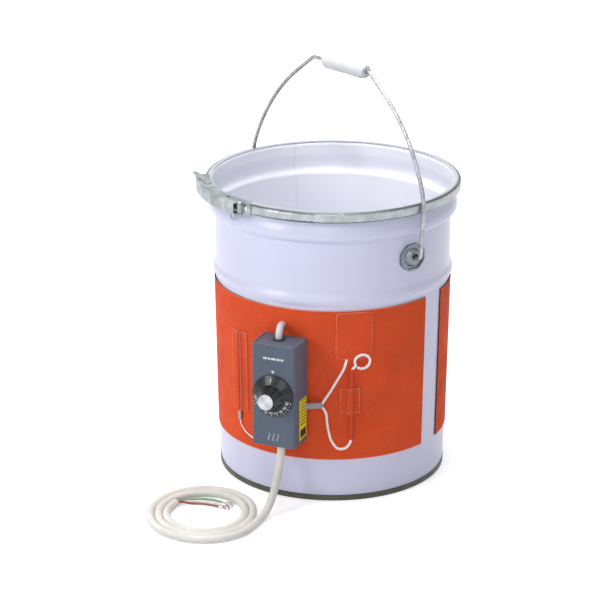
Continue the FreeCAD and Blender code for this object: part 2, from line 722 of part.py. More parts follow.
def ear(azimuth):
    """A pressed dish with a raised rim, domed out round the hole for the bail."""
    depth = 4.0
    axis = Vec(1, 0, 0)
    base = PAIL_RADIUS - depth
    plate = octagon(EAR_WIDTH, EAR_LENGTH, EAR_CUT, base)
    plate = plate.extrude(axis * (depth + EAR_RIM_HEIGHT))
    plate = plate.makeFillet(EAR_CORNER, edges_along(plate, axis))
    recess = octagon(EAR_WIDTH - 2 * EAR_RIM, EAR_LENGTH - 2 * EAR_RIM,
                     EAR_CUT - EAR_RIM / 2, PAIL_RADIUS + EAR_SHEET)
    recess = recess.extrude(axis * EAR_RIM_HEIGHT)
    recess = recess.makeFillet(EAR_CORNER - EAR_RIM, edges_along(recess, axis))
    dome_base = Vec(PAIL_RADIUS, 0, 0)
    dome = Part.makeCone(EAR_DOME_BASE, EAR_DOME_TOP, EAR_DOME_HEIGHT, dome_base, axis)
    dome = dome.makeFillet(1.2, [dome.Edges[0]])
    hollow = Part.makeCone(EAR_DOME_BASE - EAR_SHEET, EAR_DOME_TOP - EAR_SHEET,
                           EAR_DOME_HEIGHT - EAR_SHEET, dome_base, axis)
    pit = Part.makeCylinder(EAR_DOME_BASE - EAR_SHEET, depth, Vec(base, 0, 0), axis)
    hole_radius = EAR_HOLE_DIAMETER / 2
    hole_rise = hole_radius - WIRE_RADIUS - WIRE_HOLE_FIT
    hole = Part.makeCylinder(hole_radius, 30, dome_base + Vec(0, 0, hole_rise), axis)
    dish = plate.cut(recess).fuse(dome).cut([hollow, pit, hole])
    wall = Part.makeCylinder(PAIL_RADIUS, 2 * EAR_LENGTH, Vec(0, 0, -EAR_LENGTH), UP)
    dish = dish.cut(wall).removeSplitter()
    dish.translate(Vec(0, 0, EAR_HEIGHT))
    return place_at(dish, azimuth)


def bail_half():
    """Half of the bail's centre line, from the ear to the middle of the grip."""
    tip = PAIL_RADIUS + EAR_SHEET
    points = [flat(tip, 0), flat(BAIL_HALF_WIDTH - BAIL_BEND, 0)]
    leg_foot = flat(BAIL_HALF_WIDTH, BAIL_BEND)
    edges = [line(points[0], points[1])]
    edges.append(corner_arc(points[1], flat(BAIL_HALF_WIDTH, 0), leg_foot))
    leg_top = flat(BAIL_HALF_WIDTH, BAIL_LEG_TOP)
    edges.append(line(leg_foot, leg_top))
    start = leg_top
    heading = 0.0
    for radius, turn in ((BAIL_SHOULDER_RADIUS, BAIL_SHOULDER_TURN),
                         (BAIL_ARCH_RADIUS, BAIL_ARCH_TURN)):
        begin = math.radians(heading)
        centre = start - Vec(math.cos(begin), 0, math.sin(begin)) * radius
        stops = []
        for share in (0.5, 1.0):
            angle = math.radians(heading + turn * share)
            stops.append(centre + Vec(math.cos(angle), 0, math.sin(angle)) * radius)
        edges.append(arc(start, stops[0], stops[1]))
        start = stops[1]
        heading += turn
    angle = math.radians(heading)
    slope = Vec(-math.sin(angle), 0, math.cos(angle))
    corner = start + slope * ((BAIL_HEIGHT - start.z) / slope.z)
    half_turn = (math.pi / 2 - angle) / 2
    reach = BAIL_CORNER * math.tan(half_turn)
    first = corner - slope * reach
    last = corner - Vec(reach, 0, 0)
    inward = Vec(last.x, 0, last.z - BAIL_CORNER)
    middle = inward + (corner - inward).normalize() * BAIL_CORNER
    edges.append(line(start, first))
    edges.append(arc(first, middle, last))
    edges.append(line(last, flat(0, BAIL_HEIGHT)))
    return edges


def place_bail(shape):
    """Stands what was drawn upright in the XZ plane between the ears, at its lean."""
    shape.rotate(ORIGIN, Vec(1, 0, 0), -BAIL_LEAN)
    shape.translate(Vec(0, 0, EAR_HEIGHT))
    return place_at(shape, EAR_AZIMUTH)


def bail_wire():
    half = Part.Wire(bail_half())
    circle = Part.Wire([Part.Circle(half.Edges[0].Vertexes[0].Point, Vec(1, 0, 0),
                                    WIRE_RADIUS).toShape()])
    side = half.makePipeShell([circle], True, False)
    other = side.mirror(ORIGIN, Vec(1, 0, 0))
    return place_bail(side.fuse(other).removeSplitter())


def bail_grip():
    """The plastic tube that turns on the bail's straight top."""
    half = GRIP_LENGTH / 2
    bore = WIRE_RADIUS + GRIP_BORE_FIT
    belly = GRIP_DIAMETER / 2
    end = GRIP_END_DIAMETER / 2
    shoulder = half - GRIP_END_LENGTH
    lip = 1.2
    edges = [
        line(flat(-half, bore), flat(half, bore)),
        line(flat(half, bore), flat(half, end - lip)),
        corner_arc(flat(half, end - lip), flat(half, end), flat(half - lip, end)),
        arc(flat(half - lip, end), flat((half + shoulder) / 2, (end + belly) / 2 + 0.5),
            flat(shoulder, belly)),
        line(flat(shoulder, belly), flat(-shoulder, belly)),
        arc(flat(-shoulder, belly), flat(-(half + shoulder) / 2, (end + belly) / 2 + 0.5),
            flat(-half + lip, end)),
        corner_arc(flat(-half + lip, end), flat(-half, end), flat(-half, end - lip)),
        line(flat(-half, end - lip), flat(-half, bore)),
    ]
    grip = Part.Face(Part.Wire(edges)).revolve(ORIGIN, Vec(1, 0, 0), 360)
    grip.translate(Vec(GRIP_OFFSET, 0, BAIL_HEIGHT))
    return place_bail(grip)


# Heater band and what is on it

def heater_band():
    section = polygon([
        flat(wall_radius(BAND_LOW) + BAND_FIT, BAND_LOW),
        flat(band_radius(BAND_LOW), BAND_LOW),
        flat(band_radius(BAND_HIGH), BAND_HIGH),
        flat(wall_radius(BAND_HIGH) + BAND_FIT, BAND_HIGH),
    ])
    return turned(section, BAND_ENDS[0], BAND_ENDS[1])


def lead_patch():
    """The raised patch over the heater's own connections, with round corners."""
    middle = sum(PATCH_SPAN) / 2
    half = (PATCH_SPAN[1] - PATCH_SPAN[0]) / 2
    width = 2 * band_radius(PATCH_HIGH) * math.sin(math.radians(half))
    cutter = Part.makeBox(60, width, PATCH_HIGH - PATCH_LOW,
                          Vec(band_radius(PATCH_LOW) - 30, -width / 2, PATCH_LOW))
    cutter = cutter.makeFillet(PATCH_CORNER, edges_along(cutter, Vec(1, 0, 0)))
    place_at(cutter, middle)
    sheet = plate_on_band(PATCH_SHEET, PATCH_LOW, PATCH_HIGH, middle - half - 2, middle + half + 2)
    return sheet.common(cutter).cut(heater_lead()).removeSplitter()


def bulb_stand_off():
    return BULB_DIAMETER / 2 + POCKET_FIT


def bulb_pocket():
    """A sheet glued over the bulb: a ridge with a bore, and a hem on its right edge."""
    span = BULB_POCKET_SPAN
    low = BULB_POCKET_LOW
    high = BULB_POCKET_HIGH
    sheet = plate_on_band(OVERLAY_SHEET, low, high, span[0], span[1])
    stand_off = bulb_stand_off()
    ridge = rod_on_band(BULB_DIAMETER + 2 * OVERLAY_SHEET, BULB_AZIMUTH, low, high, stand_off)
    hem = rod_on_band(HEM_DIAMETER, HEM_AZIMUTH, low + 5, high - 1, OVERLAY_SHEET)
    bore = rod_on_band(BULB_DIAMETER + POCKET_FIT, BULB_AZIMUTH, low - 5, high + 5, stand_off)
    return sheet.fuse([ridge, hem]).cut([band_core(), bore]).removeSplitter()


def sensing_bulb():
    stand_off = bulb_stand_off()
    rod = rod_on_band(BULB_DIAMETER, BULB_AZIMUTH, BULB_LOW, BULB_LOW + BULB_LENGTH, stand_off)
    return rod


def bulb_ferrule():
    stand_off = bulb_stand_off()
    return rod_on_band(FERRULE_DIAMETER, BULB_AZIMUTH, BULB_LOW - FERRULE_LENGTH, BULB_LOW,
                       stand_off)


def capillary_tube():
    """The thin tube from the bulb down and round into the box's underside."""
    stand_off = CAPILLARY_DIAMETER / 2 + SURFACE_GAP
    low = BULB_LOW - FERRULE_LENGTH
    points = [
        on_band(BULB_AZIMUTH, low, bulb_stand_off()),
        on_band(-28.1, 81.0, stand_off + 0.6),
        on_band(-25.8, 74.0, stand_off),
        on_band(-21.6, 69.4, stand_off),
        on_band(-17.0, 66.6, stand_off),
        on_band(-12.0, 66.0, stand_off + 1.0),
        Vec(-20.0, -150.5, 69.5),
        Vec(CAPILLARY_PLACE[0], CAPILLARY_PLACE[1], 77.0),
        Vec(CAPILLARY_PLACE[0], CAPILLARY_PLACE[1], CASE_LOW + 8.0),
    ]
    return tube(points, CAPILLARY_DIAMETER, "capillary_tube")


def sleeve_stand_off():
    return SLEEVE_DIAMETER / 2 + SURFACE_GAP


def sensor_tab():
    """A small sheet that holds the sensor sleeve, with a ridge over it."""
    sheet = plate_on_band(OVERLAY_SHEET, TAB_LOW, TAB_HIGH, TAB_SPAN[0], TAB_SPAN[1])
    stand_off = sleeve_stand_off()
    ridge = rod_on_band(SLEEVE_DIAMETER + 2 * OVERLAY_SHEET + 0.4, SLEEVE_AZIMUTH,
                        TAB_LOW, TAB_HIGH, stand_off)
    bore = rod_on_band(SLEEVE_DIAMETER + POCKET_FIT, SLEEVE_AZIMUTH,
                       TAB_LOW - 5, TAB_HIGH + 5, stand_off)
    return sheet.fuse(ridge).cut([band_core(), bore]).removeSplitter()


def sensor_sleeve():
    stand_off = sleeve_stand_off()
    outside = rod_on_band(SLEEVE_DIAMETER, SLEEVE_AZIMUTH, SLEEVE_LOW, SLEEVE_HIGH, stand_off)
    bore = rod_on_band(LEAD_DIAMETER + POCKET_FIT, SLEEVE_AZIMUTH,
                       SLEEVE_LOW - 5, SLEEVE_HIGH + 5, stand_off)
    return outside.cut([bore, sensor_lead()])


SPLIT_AZIMUTH = 17.4
SPLIT_HEIGHT = 127.8
SPLIT_STEP = 1.8              # each lead leaves the sheath this far off its middle
LOOP_AZIMUTH = 36.2
LOOP_HEIGHT = 182.8
LOOP_RADII = (9.4, 8.6)       # along the band and up
LOOP_POINTS = 13
LOOP_START = 215.0            # where the lead joins the loop, degrees from +X seen from outside
LOOP_TURN = 348.0
LOOP_LIFTED = 4               # the last points rise over the loop's start


def sensor_lead():
    """The lead from the split, round and up through the sleeve, ending in a loop."""
    stand_off = LEAD_DIAMETER / 2 + SURFACE_GAP
    inside = sleeve_stand_off()
    points = [
        on_band(SPLIT_AZIMUTH, SPLIT_HEIGHT - SPLIT_STEP, SHEATH_DIAMETER / 2 + SURFACE_GAP),
        on_band(19.4, SPLIT_HEIGHT - 10.8, stand_off),
        on_band(19.9, SPLIT_HEIGHT - 28.3, stand_off),
        on_band(21.6, SLEEVE_LOW - 1.5, stand_off),
        on_band(24.6, SLEEVE_LOW - 12.3, stand_off),
        on_band(28.4, SLEEVE_LOW - 12.7, stand_off),
        on_band(SLEEVE_AZIMUTH, SLEEVE_LOW - 4.5, stand_off + 0.4),
        on_band(SLEEVE_AZIMUTH, SLEEVE_LOW + 6.0, inside),
        on_band(SLEEVE_AZIMUTH + 0.02, SLEEVE_HIGH - 1.5, inside),
    ]
    for step in range(LOOP_POINTS):
        angle = math.radians(LOOP_START - step * LOOP_TURN / (LOOP_POINTS - 1))
        side = LOOP_RADII[0] * math.cos(angle)
        azimuth = LOOP_AZIMUTH + math.degrees(side / band_radius(LOOP_HEIGHT))
        height = LOOP_HEIGHT + LOOP_RADII[1] * math.sin(angle)
        share = max(0, step + 1 + LOOP_LIFTED - LOOP_POINTS) / LOOP_LIFTED
        lift = share * (LEAD_DIAMETER + SURFACE_GAP)
        points.append(on_band(azimuth, height, stand_off + PATCH_SHEET + lift))
    return tube(points, LEAD_DIAMETER, "sensor_lead")


def heater_lead():
    """The lead from the split up to the patch."""
    stand_off = LEAD_DIAMETER / 2 + SURFACE_GAP
    points = [
        on_band(SPLIT_AZIMUTH, SPLIT_HEIGHT + SPLIT_STEP, SHEATH_DIAMETER / 2 + SURFACE_GAP),
        on_band(21.2, SPLIT_HEIGHT + 16.9, stand_off),
        on_band(24.8, PATCH_LOW - 24.5, stand_off),
        on_band(27.6, PATCH_LOW - 12.0, stand_off),
        on_band(28.8, PATCH_LOW, stand_off),
    ]
    return tube(points, LEAD_DIAMETER, "heater_lead")


def lead_sheath():
    """The grey sheath from the box's side to where its two leads part."""
    stand_off = SHEATH_DIAMETER / 2 + SURFACE_GAP
    y, z = SHEATH_PLACE
    end = on_band(SPLIT_AZIMUTH, SPLIT_HEIGHT, stand_off)
    points = [
        Vec(CASE_SIDE - 6.0, y, z),
        Vec(CASE_SIDE + 4.0, y + 1.5, z),
        end,
    ]
    sheath = tube(points, SHEATH_DIAMETER, "lead_sheath")
    return sheath.cut([sensor_lead(), heater_lead()])


# Control box

def case_body():
    """The deep case with its left side open: front, right side, top, bottom and back."""
    outside = Part.makeBox(CASE_WIDTH, CASE_DEPTH, CASE_HEIGHT,
                           Vec(-CASE_SIDE, CASE_FRONT, CASE_LOW))
    front_corners = []
    for edge in edges_along(outside, UP):
        if abs(edge.Vertexes[0].Point.y - CASE_FRONT) < SMALL:
            front_corners.append(edge)
    outside = outside.makeFillet(CASE_CORNER, front_corners)
    side = SIDE_PLATE_GAP + CASE_WALL
    inside = Part.makeBox(CASE_WIDTH - CASE_WALL, CASE_DEPTH - 2 * CASE_WALL,
                          CASE_HEIGHT - 2 * CASE_WALL,
                          Vec(-CASE_SIDE, CASE_FRONT + CASE_WALL, CASE_LOW + CASE_WALL))
    slot = Part.makeBox(side, CASE_DEPTH - 2 * CASE_WALL, CASE_HEIGHT + 2,
                        Vec(-CASE_SIDE - SMALL, CASE_FRONT + CASE_WALL, CASE_LOW - 1))
    case = outside.cut([inside, slot])
    posts = []
    for place in screw_places():
        start = Vec(-CASE_SIDE + CASE_WALL, place.y, place.z)
        posts.append(Part.makeCylinder(POST_DIAMETER / 2, CASE_WIDTH - 1.5 * CASE_WALL,
                                       start, Vec(1, 0, 0)))
    case = case.fuse(posts)
    holes = []
    for place in screw_places():
        holes.append(Part.makeCylinder(SCREW_DIAMETER / 2, SCREW_LENGTH,
                                       Vec(-CASE_SIDE, place.y, place.z), Vec(1, 0, 0)))
    front_hole = BUSHING_DIAMETER / 2 + BUSHING_FIT
    holes.append(Part.makeCylinder(front_hole, 3 * CASE_WALL,
                                   Vec(0, CASE_FRONT - CASE_WALL, DIAL_HEIGHT), Vec(0, 1, 0)))
    holes.append(upright(GROMMET_NECK_DIAMETER, CASE_HIGH - 2 * CASE_WALL, CASE_HIGH + 1,
                         Vec(*TOP_LEAD_PLACE, 0)))
    holes.append(upright(BUSH_NECK_DIAMETER, CASE_LOW - 1, CASE_LOW + 2 * CASE_WALL,
                         Vec(*CORD_PLACE, 0)))
    holes.append(upright(CAPILLARY_DIAMETER + 2 * CAPILLARY_HOLE_FIT, CASE_LOW - 1,
                         CASE_LOW + 2 * CASE_WALL, Vec(*CAPILLARY_PLACE, 0)))
    case = case.cut(holes)
    return case.cut(lead_sheath()).removeSplitter()


def screw_places():
    """Where the four screws of the side plate go, on the left side."""
    places = []
    for height in (CASE_LOW + SCREW_INSET[1], CASE_HIGH - SCREW_INSET[1]):
        for depth in (CASE_FRONT + SCREW_INSET[0] + CASE_WALL, -CASE_BACK - SCREW_INSET[0]):
            places.append(Vec(-CASE_SIDE, depth, height))
    return places


def side_plate():
    """The plate that closes the left side, set in behind the front's edge."""
    plate = Part.makeBox(CASE_WALL, CASE_DEPTH - 2 * CASE_WALL - SIDE_PLATE_GAP, CASE_HEIGHT,
                         Vec(-CASE_SIDE, CASE_FRONT + CASE_WALL + SIDE_PLATE_GAP / 2, CASE_LOW))
    holes = []
    for place in screw_places():
        holes.append(Part.makeCylinder(SCREW_DIAMETER / 2, 3 * CASE_WALL,
                                       place - Vec(CASE_WALL, 0, 0), Vec(1, 0, 0)))
    return plate.cut(holes)


def plate_screws():
    """Four pan-head screws with a cross recess."""
    screws = []
    for place in screw_places():
        head = Part.makeCylinder(SCREW_HEAD_DIAMETER / 2, SCREW_HEAD_HEIGHT,
                                 place - Vec(SCREW_HEAD_HEIGHT, 0, 0), Vec(1, 0, 0))
        crown = [edge for edge in head.Edges
                 if abs(edge.BoundBox.XMin - (place.x - SCREW_HEAD_HEIGHT)) < SMALL
                 and edge.BoundBox.XLength < SMALL]
        head = head.makeFillet(0.7, crown)
        for size in ((0.8, 3.2), (3.2, 0.8)):
            cross = Part.makeBox(1.2, size[0], size[1],
                                 place - Vec(SCREW_HEAD_HEIGHT + 0.2, size[0] / 2, size[1] / 2))
            head = head.cut(cross)
        shank = Part.makeCylinder(SCREW_DIAMETER / 2, SCREW_LENGTH - 1.0, place, Vec(1, 0, 0))
        screws.append(head.fuse(shank).removeSplitter())
    return Part.makeCompound(screws)


def case_saddle():
    """The rubber pad between the flat back of the case and the round band."""
    low = CASE_LOW + SADDLE_INSET
    height = CASE_HEIGHT - 2 * SADDLE_INSET
    block = Part.makeBox(SADDLE_WIDTH, 12, height, Vec(-SADDLE_WIDTH / 2, -CASE_BACK, low))
    return block.cut(band_core())


def regulator_body():
    """The bulb regulator behind the front, with the bushing that carries the shaft."""
    width, depth, height = REGULATOR_SIZE
    inner_face = CASE_FRONT + CASE_WALL
    block = Part.makeBox(width, depth, height,
                         Vec(-width / 2, inner_face, DIAL_HEIGHT - height / 2))
    block = block.makeChamfer(1.5, edges_along(block, Vec(0, 1, 0)))
    bushing = Part.makeCylinder(BUSHING_DIAMETER / 2, CASE_WALL + BUSHING_REACH + SMALL,
                                Vec(0, CASE_FRONT - BUSHING_REACH, DIAL_HEIGHT), Vec(0, 1, 0))
    bore = Part.makeCylinder(SHAFT_DIAMETER / 2 + RUNNING_FIT, CASE_WALL + BUSHING_REACH + depth - 3,
                             Vec(0, CASE_FRONT - BUSHING_REACH - 1, DIAL_HEIGHT), Vec(0, 1, 0))
    return block.fuse(bushing).cut(bore).removeSplitter()


def dial_front():
    """The plane of the dial's back, just off the front of the case."""
    return CASE_FRONT - DIAL_GAP


def regulator_shaft():
    """The round shaft, with a flat where the dial is held."""
    tip = dial_front() - DIAL_CONE_HEIGHT - HUB_LENGTH + 3.0
    shaft = Part.makeCylinder(SHAFT_DIAMETER / 2, SHAFT_LENGTH, Vec(0, tip, DIAL_HEIGHT),
                              Vec(0, 1, 0))
    flat_cut = Part.makeBox(SHAFT_DIAMETER, 12, SHAFT_DIAMETER,
                            Vec(-SHAFT_DIAMETER / 2, tip, DIAL_HEIGHT + SHAFT_FLAT))
    return shaft.cut(flat_cut)


def dial_knob():
    """The dial: a thin rim, a cone for the scale and a fluted hub, bored for the shaft."""
    rim = DIAL_DIAMETER / 2
    hub = HUB_DIAMETER / 2
    tip = HUB_TIP_DIAMETER / 2
    pocket = BUSHING_DIAMETER / 2 + 1.5
    cone_top = DIAL_CONE_HEIGHT
    top = DIAL_CONE_HEIGHT + HUB_LENGTH
    section = [
        flat(0, 3.0),
        flat(pocket, 3.0),
        flat(pocket, 0),
        flat(rim, 0),
        flat(rim, DIAL_RIM),
        flat(hub + 1.0, cone_top),
        flat(hub, cone_top + 1.0),
        flat(tip, top - 1.0),
        flat(tip - 1.0, top),
        flat(0, top),
    ]
    knob = polygon(section).revolve(ORIGIN, UP, 360)
    flutes = []
    for step in range(HUB_FLUTES):
        angle = math.radians(step * 360.0 / HUB_FLUTES)
        reach = hub + HUB_FLUTE_RADIUS * 0.62
        foot = Vec(reach * math.cos(angle), reach * math.sin(angle), cone_top + 1.5)
        lean = Vec(-(hub - tip) * math.cos(angle), -(hub - tip) * math.sin(angle), HUB_LENGTH)
        flutes.append(Part.makeCylinder(HUB_FLUTE_RADIUS, HUB_LENGTH + 6, foot, lean))
    knob = knob.cut(flutes)
    knob.rotate(ORIGIN, Vec(1, 0, 0), 90)
    knob.translate(Vec(0, dial_front(), DIAL_HEIGHT))
    return knob.cut(regulator_shaft()).removeSplitter()


def dial_cap():
    """The bright disc on the hub's end."""
    cap = Part.makeCylinder(CAP_DIAMETER / 2, CAP_HEIGHT)
    cap = cap.makeFillet(0.6, [edge for edge in cap.Edges
                               if edge.BoundBox.ZMin > CAP_HEIGHT - SMALL])
    cap.rotate(ORIGIN, Vec(1, 0, 0), 90)
    cap.translate(Vec(0, dial_front() - DIAL_CONE_HEIGHT - HUB_LENGTH, DIAL_HEIGHT))
    return cap


def side_label():
    """The plain sticker on the case's right side."""
    width, height = LABEL_SIZE
    label = Part.makeBox(LABEL_SHEET, width, height,
                         Vec(CASE_SIDE, -CASE_BACK - LABEL_BACK_INSET - width, LABEL_LOW))
    return label.cut(lead_sheath())


def terminal_block():
    """The block in the case where the cord's cores and the leads are joined."""
    width, depth, height = TERMINAL_BLOCK_SIZE
    low = CASE_LOW + 22.0
    block = Part.makeBox(width, depth, height, Vec(-width / 2, -CASE_BACK - CASE_WALL - depth, low))
    for step in range(3):
        x = (step - 1) * width / 3
        block = block.cut(Part.makeCylinder(2.2, 5, Vec(x, -CASE_BACK - CASE_WALL - depth, low + height / 2),
                                            Vec(0, 1, 0)))
    return block


# Leads, grommets and cord at the box

def grommet(lip_diameter, neck_diameter, bore_diameter, lip, place, face, side):
    """A rubber ring in a wall: a lip on each face and a neck in the hole."""
    neck = upright(neck_diameter, min(face, face - side * CASE_WALL),
                   max(face, face - side * CASE_WALL), place)
    outer = upright(lip_diameter, min(face, face + side * lip), max(face, face + side * lip), place)
    back = face - side * CASE_WALL
    inner = upright(lip_diameter, min(back, back - side * lip), max(back, back - side * lip), place)
    crown = [edge for edge in outer.Edges if abs(edge.BoundBox.ZMin - (face + side * lip)) < SMALL
             and edge.BoundBox.ZLength < SMALL]
    outer = outer.makeFillet(lip * 0.45, crown)
    bore = upright(bore_diameter, face - 3 * CASE_WALL, face + 3 * CASE_WALL, place)
    return neck.fuse([outer, inner]).cut(bore).removeSplitter()


def top_grommet():
    return grommet(GROMMET_LIP_DIAMETER, GROMMET_NECK_DIAMETER, TOP_LEAD_DIAMETER, GROMMET_LIP,
                   Vec(*TOP_LEAD_PLACE, 0), CASE_HIGH, 1)


def cord_bush():
    return grommet(BUSH_LIP_DIAMETER, BUSH_NECK_DIAMETER, CORD_DIAMETER, BUSH_LIP,
                   Vec(*CORD_PLACE, 0), CASE_LOW, -1)


def top_lead():
    """The grey lead out of the box's top that bends back into the band."""
    x, y = TOP_LEAD_PLACE
    crest = CASE_HIGH + TOP_LEAD_RISE
    points = [
        Vec(x, y, CASE_HIGH - 12.0),
        Vec(x, y, crest - 5.0),
        Vec(x - 1.0, y + 7.0, crest + 2.0),
        Vec(x - 4.5, -band_radius(crest) + 4.0, crest - 1.0),
    ]
    return tube(points, TOP_LEAD_DIAMETER, "top_lead").cut(band_core())


def cord_tube():
    return tube(CORD_POINTS, CORD_DIAMETER, "cord_tube")


def ellipse_face(inset):
    """A flat ellipse, the outer turn's centre line moved in by an inset."""
    long_axis = COIL_AXES[0] - inset
    short_axis = COIL_AXES[1] - inset
    ellipse = Part.Ellipse(ORIGIN, long_axis, short_axis)
    face = Part.Face(Part.Wire([ellipse.toShape()]))
    face.rotate(ORIGIN, UP, COIL_TILT)
    face.translate(COIL_CENTRE)
    return face


def cord_coil():
    """The outer shape of the coil: two full turns and the part turn inside them."""
    height = UP * CORD_DIAMETER
    body = ellipse_face(-CORD_RADIUS).extrude(height)
    full = body.cut(ellipse_face(COIL_PITCH + CORD_RADIUS).extrude(height))
    last = ellipse_face(COIL_PITCH).extrude(height)
    last = last.cut(ellipse_face(2 * COIL_PITCH + CORD_RADIUS).extrude(height))
    reach = 2 * COIL_AXES[0]
    first = COIL_LAST_TURN_END
    corners = [COIL_CENTRE]
    for step in range(5):
        angle = math.radians(first + step * (390 - first) / 4.0)
        corners.append(COIL_CENTRE + Vec(math.cos(angle), math.sin(angle), 0) * reach)
    sector = polygon(corners).extrude(height)
    coil = full.fuse(last.common(sector)).removeSplitter()
    rims = [edge for edge in coil.Edges if edge.BoundBox.ZLength < SMALL
            and edge.BoundBox.DiagonalLength > 100]
    try:
        coil = coil.makeFillet(CORD_RADIUS * 0.6, rims)
    except Part.OCCError:
        print("coil left square")
    return coil.cut([cord_tube()] + [core(name) for name in CORE_ROUTES])


def core(name):
    start = CORE_START + CORE_OFFSETS[name]
    return tube([start] + CORE_ROUTES[name], CORE_DIAMETER, name)


def ring_terminal(place, heading):
    """A crimped ring terminal: barrel, tongue and eye."""
    barrel = Part.makeCylinder(BARREL_DIAMETER / 2, BARREL_LENGTH, ORIGIN, Vec(1, 0, 0))
    tongue = Part.makeBox(TONGUE_LENGTH + 1, TONGUE_WIDTH, TERMINAL_SHEET,
                          Vec(BARREL_LENGTH - 1, -TONGUE_WIDTH / 2, -TERMINAL_SHEET / 2))
    eye_centre = Vec(BARREL_LENGTH + TONGUE_LENGTH + 1, 0, -TERMINAL_SHEET / 2)
    eye = Part.makeCylinder(EYE_DIAMETER / 2, TERMINAL_SHEET, eye_centre, UP)
    hole = Part.makeCylinder(EYE_HOLE / 2, 4, eye_centre - Vec(0, 0, 2), UP)
    terminal = barrel.fuse([tongue, eye]).cut(hole).removeSplitter()
    terminal.rotate(ORIGIN, UP, heading)
    terminal.translate(Vec(place.x, place.y, BARREL_DIAMETER / 2))
    return terminal


def ring_terminals():
    pieces = []
    for name, points in CORE_ROUTES.items():
        pieces.append(ring_terminal(points[-1], TERMINAL_HEADINGS[name]).cut(core(name)))
    return Part.makeCompound(pieces)


def build():
    """Every piece by the name that it is written under."""
    return {
        "pail_shell": pail_shell(),
        "pail_bottom": pail_bottom(),
        "lock_ring": lock_ring(),
        "hinge_bracket": hinge_bracket(),
        "hinge_pin": hinge_pin(),
        "keeper_bracket": keeper_bracket(),
        "keeper_pin": keeper_pin(),
        "lock_lever": lock_lever(),
        "link_pin": link_pin(),
        "lock_link": lock_link(),
        "seal_eye": seal_eye(),
        "ear_front": ear(EAR_AZIMUTH),
        "ear_back": ear(EAR_AZIMUTH + 180),
        "bail_wire": bail_wire(),
        "bail_grip": bail_grip(),
        "heater_band": heater_band(),
        "lead_patch": lead_patch(),
        "bulb_pocket": bulb_pocket(),
        "sensing_bulb": sensing_bulb(),
        "bulb_ferrule": bulb_ferrule(),
        "capillary_tube": capillary_tube(),
        "sensor_tab": sensor_tab(),
        "sensor_sleeve": sensor_sleeve(),
        "sensor_lead": sensor_lead(),
        "heater_lead": heater_lead(),
        "lead_sheath": lead_sheath(),
        "case_body": case_body(),
        "side_plate": side_plate(),
        "plate_screws": plate_screws(),
        "case_saddle": case_saddle(),
        "regulator_body": regulator_body(),
        "regulator_shaft": regulator_shaft(),
        "dial_knob": dial_knob(),
        "dial_cap": dial_cap(),
        "side_label": side_label(),
        "terminal_block": terminal_block(),
        "top_grommet": top_grommet(),
        "top_lead": top_lead(),
        "cord_bush": cord_bush(),
        "cord_tube": cord_tube(),
        "cord_coil": cord_coil(),
        "core_green": core("core_green"),
        "core_white": core("core_white"),
        "core_red": core("core_red"),
        "ring_terminals": ring_terminals(),
    }


def main():
    os.makedirs("parts", exist_ok=True)
    for name, shape in build().items():
        if not shape.isValid():
            print("invalid:", name)
        print(f"{name}: {len(shape.Solids)} solids, {shape.Volume / 1000:.2f} cm3")
        shape.exportStep(f"parts/{name}.step")


if __name__ == "__main__":
    main()
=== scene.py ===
"""The looks of a silicone pail heater on its steel pail.

The built solids come in as a fixed frame. This script gives each of them its finish and
adds what the solids leave out: the power cord with its coil, the dial's numbers, the
marks on the control box, and the lever lock's weld spots and rivet head. All sizes are
metres. The origin is the centre of the pail's foot, +Z is up and the box faces -Y.
"""

import logging
import math
from dataclasses import dataclass, field
from enum import Enum

import bpy
from mathutils import Matrix, Vector


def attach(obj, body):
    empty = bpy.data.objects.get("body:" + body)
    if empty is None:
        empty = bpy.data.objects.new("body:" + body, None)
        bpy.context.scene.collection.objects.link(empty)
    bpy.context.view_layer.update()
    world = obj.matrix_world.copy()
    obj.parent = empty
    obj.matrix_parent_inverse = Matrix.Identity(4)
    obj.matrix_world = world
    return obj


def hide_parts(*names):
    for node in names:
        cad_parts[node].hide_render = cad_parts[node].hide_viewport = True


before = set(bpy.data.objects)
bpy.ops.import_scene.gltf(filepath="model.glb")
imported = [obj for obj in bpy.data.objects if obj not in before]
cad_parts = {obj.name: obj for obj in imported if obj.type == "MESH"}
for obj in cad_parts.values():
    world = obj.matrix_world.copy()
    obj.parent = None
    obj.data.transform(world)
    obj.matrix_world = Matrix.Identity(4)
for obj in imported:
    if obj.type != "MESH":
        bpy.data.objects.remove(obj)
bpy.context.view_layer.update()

log = logging.getLogger("pail_heater")

Colour = tuple[float, float, float]
Point = tuple[float, float, float]
Socket = bpy.types.NodeSocket
Outputs = bpy.types.bpy_prop_collection
Thing = bpy.types.Object

UP = Vector((0.0, 0.0, 1.0))
PRINT_THICKNESS = 0.00008
NOISE_SPAN = (0.3, 0.7)
WHITE = (1.0, 1.0, 1.0, 1.0)


class Body(Enum):
    """The rigid bodies that the added pieces ride on."""

    PAIL = "pail"
    DIAL = "dial"


class Axis(Enum):
    """The parts of a point, in the order in which a node gives them."""

    X = "X"
    Y = "Y"
    Z = "Z"


# Node trees


